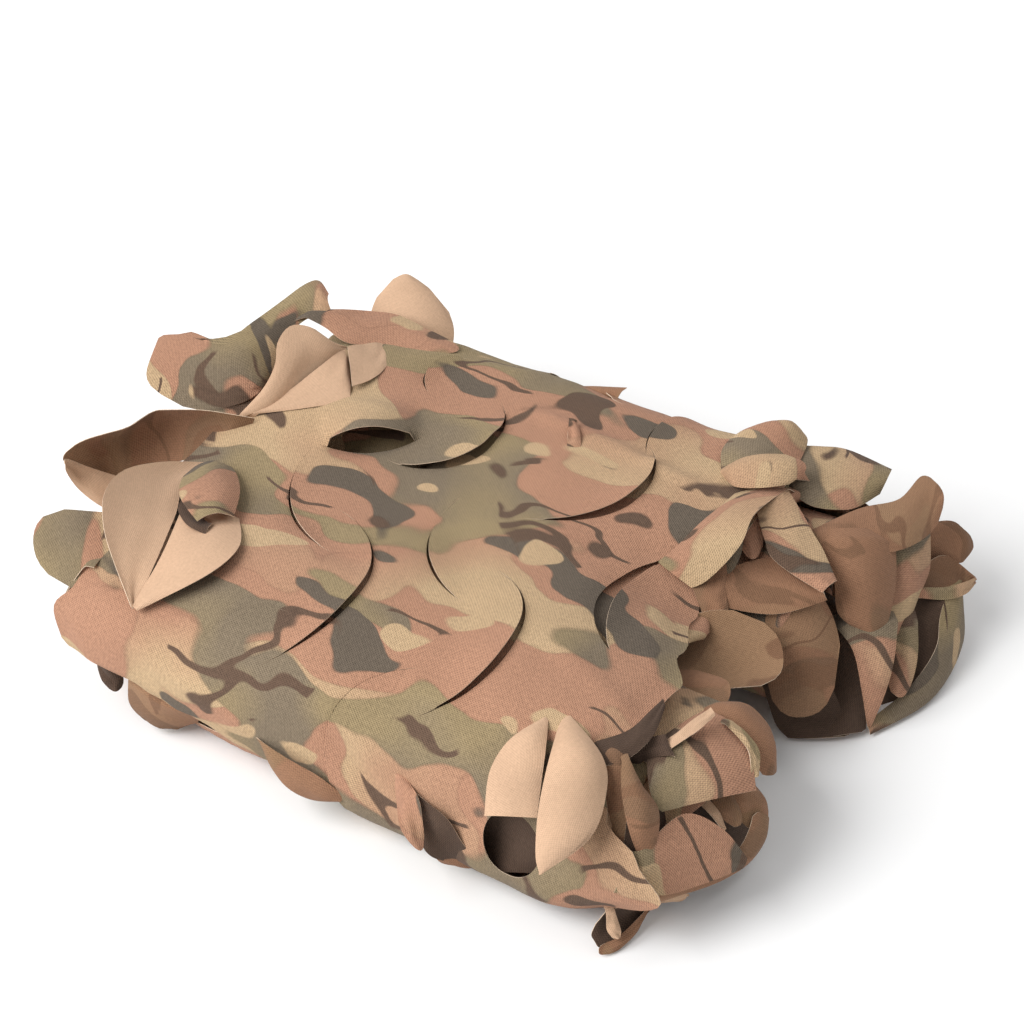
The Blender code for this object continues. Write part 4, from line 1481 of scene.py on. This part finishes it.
class NETTING_OT_plies(bpy.types.Operator):
    """Lay the ply under the outer sheet and wind the inner turns of both rolls"""

    bl_idname = "netting.plies"
    bl_label = "Inner plies"

    def execute(self, context):
        reach = SHEET_REACH - UNDER_PLY_SHORT
        for name, low, high, depth in (
            ("under_ply", -reach, reach, UNDER_PLY_DEPTH),
            ("front_turns", -SECTION.reach, -reach, TURNS_DEPTH),
            ("back_turns", reach, SECTION.reach, TURNS_DEPTH),
        ):
            form = ply_form(low, high, depth)
            finish_cloth(context, name, form)
        return {"FINISHED"}


class NETTING_OT_leaves(bpy.types.Operator):
    """Set the leaves that stand out of the bundle"""

    bl_idname = "netting.leaves"
    bl_label = "Leaves"

    def execute(self, context):
        leaf_group(context, "left_leaves", LEFT_LEAVES, LEFT_BANDS, seed=100)
        leaf_group(context, "front_leaves", (), FRONT_BANDS, seed=200)
        leaf_group(context, "right_front_leaves", (), RIGHT_FRONT_BANDS, seed=300)
        leaf_group(context, "right_back_leaves", (), RIGHT_BACK_BANDS, seed=400)
        leaf_group(context, "back_leaves", BACK_LEAVES, BACK_BANDS, seed=500)
        return {"FINISHED"}


class NETTING_OT_stage(bpy.types.Operator):
    """Set the floor, the lights and the camera"""

    bl_idname = "netting.stage"
    bl_label = "Studio"

    def execute(self, context):
        scene = context.scene
        studio = scene.netting_studio
        scene.view_settings.view_transform = "Standard"
        form = bmesh.new()
        bmesh.ops.create_grid(form, x_segments=1, y_segments=1, size=FLOOR_SIZE)
        mesh = bpy.data.meshes.new("floor")
        form.to_mesh(mesh)
        form.free()
        floor = bpy.data.objects.new("floor", mesh)
        scene.collection.objects.link(floor)
        material = bpy.data.materials.new("studio floor")
        material.use_nodes = True
        principled = material.node_tree.nodes["Principled BSDF"]
        principled.inputs["Base Color"].default_value = (*studio.floor, 1)
        principled.inputs["Roughness"].default_value = 0.95
        principled.inputs["Specular IOR Level"].default_value = 0.0
        mesh.materials.append(material)

        world = bpy.data.worlds.new("surround")
        world.use_nodes = True
        background = world.node_tree.nodes["Background"]
        background.inputs["Color"].default_value = (1, 1, 1, 1)
        background.inputs["Strength"].default_value = studio.surround
        scene.world = world
        for name, place, size, share in LIGHTS:
            light = bpy.data.lights.new(name, "AREA")
            light.energy, light.size = studio.key * share, size
            lamp = bpy.data.objects.new(name, light)
            lamp.location = place
            lamp.rotation_euler = (LIT_POINT - place).to_track_quat("-Z", "Y").to_euler()
            scene.collection.objects.link(lamp)

        camera = bpy.data.cameras.new("camera")
        camera.lens = LENS
        camera.sensor_width = SENSOR
        _, _, back = view_axes(studio.azimuth, studio.elevation)
        eye = bpy.data.objects.new("camera", camera)
        eye.location = view_eye(studio.azimuth, studio.elevation, studio.distance) - MIDDLE
        eye.rotation_mode = "QUATERNION"
        eye.rotation_quaternion = (-back).to_track_quat("-Z", "Y")
        scene.collection.objects.link(eye)
        scene.camera = eye
        return {"FINISHED"}


OPERATORS = (NETTING_OT_sheet, NETTING_OT_plies, NETTING_OT_leaves, NETTING_OT_stage)


class NETTING_PT_panel(bpy.types.Panel):
    """The netting's pieces, in the order in which they are made"""

    bl_idname = "NETTING_PT_panel"
    bl_label = "Camouflage netting"
    bl_space_type = "VIEW_3D"
    bl_region_type = "UI"
    bl_category = "Netting"

    def draw(self, context):
        for operator in OPERATORS:
            self.layout.operator(operator.bl_idname)
        for settings in (
            context.scene.netting_sizes,
            context.scene.netting_colours,
            context.scene.netting_studio,
        ):
            for name in settings.bl_rna.properties.keys():
                if name not in ("rna_type", "name"):
                    self.layout.prop(settings, name)


SETTINGS = {
    "netting_sizes": NettingSizes,
    "netting_colours": NettingColours,
    "netting_studio": StudioSettings,
}


def register():
    for kind in (*SETTINGS.values(), *OPERATORS, NETTING_PT_panel):
        bpy.utils.register_class(kind)
    for name, kind in SETTINGS.items():
        setattr(bpy.types.Scene, name, bpy.props.PointerProperty(type=kind))


def unregister():
    for name in SETTINGS:
        delattr(bpy.types.Scene, name)
    for kind in reversed((*SETTINGS.values(), *OPERATORS, NETTING_PT_panel)):
        bpy.utils.unregister_class(kind)


def main():
    """Register the add-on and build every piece."""
    register()
    bpy.ops.netting.sheet()
    bpy.ops.netting.plies()
    bpy.ops.netting.leaves()
    bpy.ops.netting.stage()


if __name__ == "__main__":
    main()
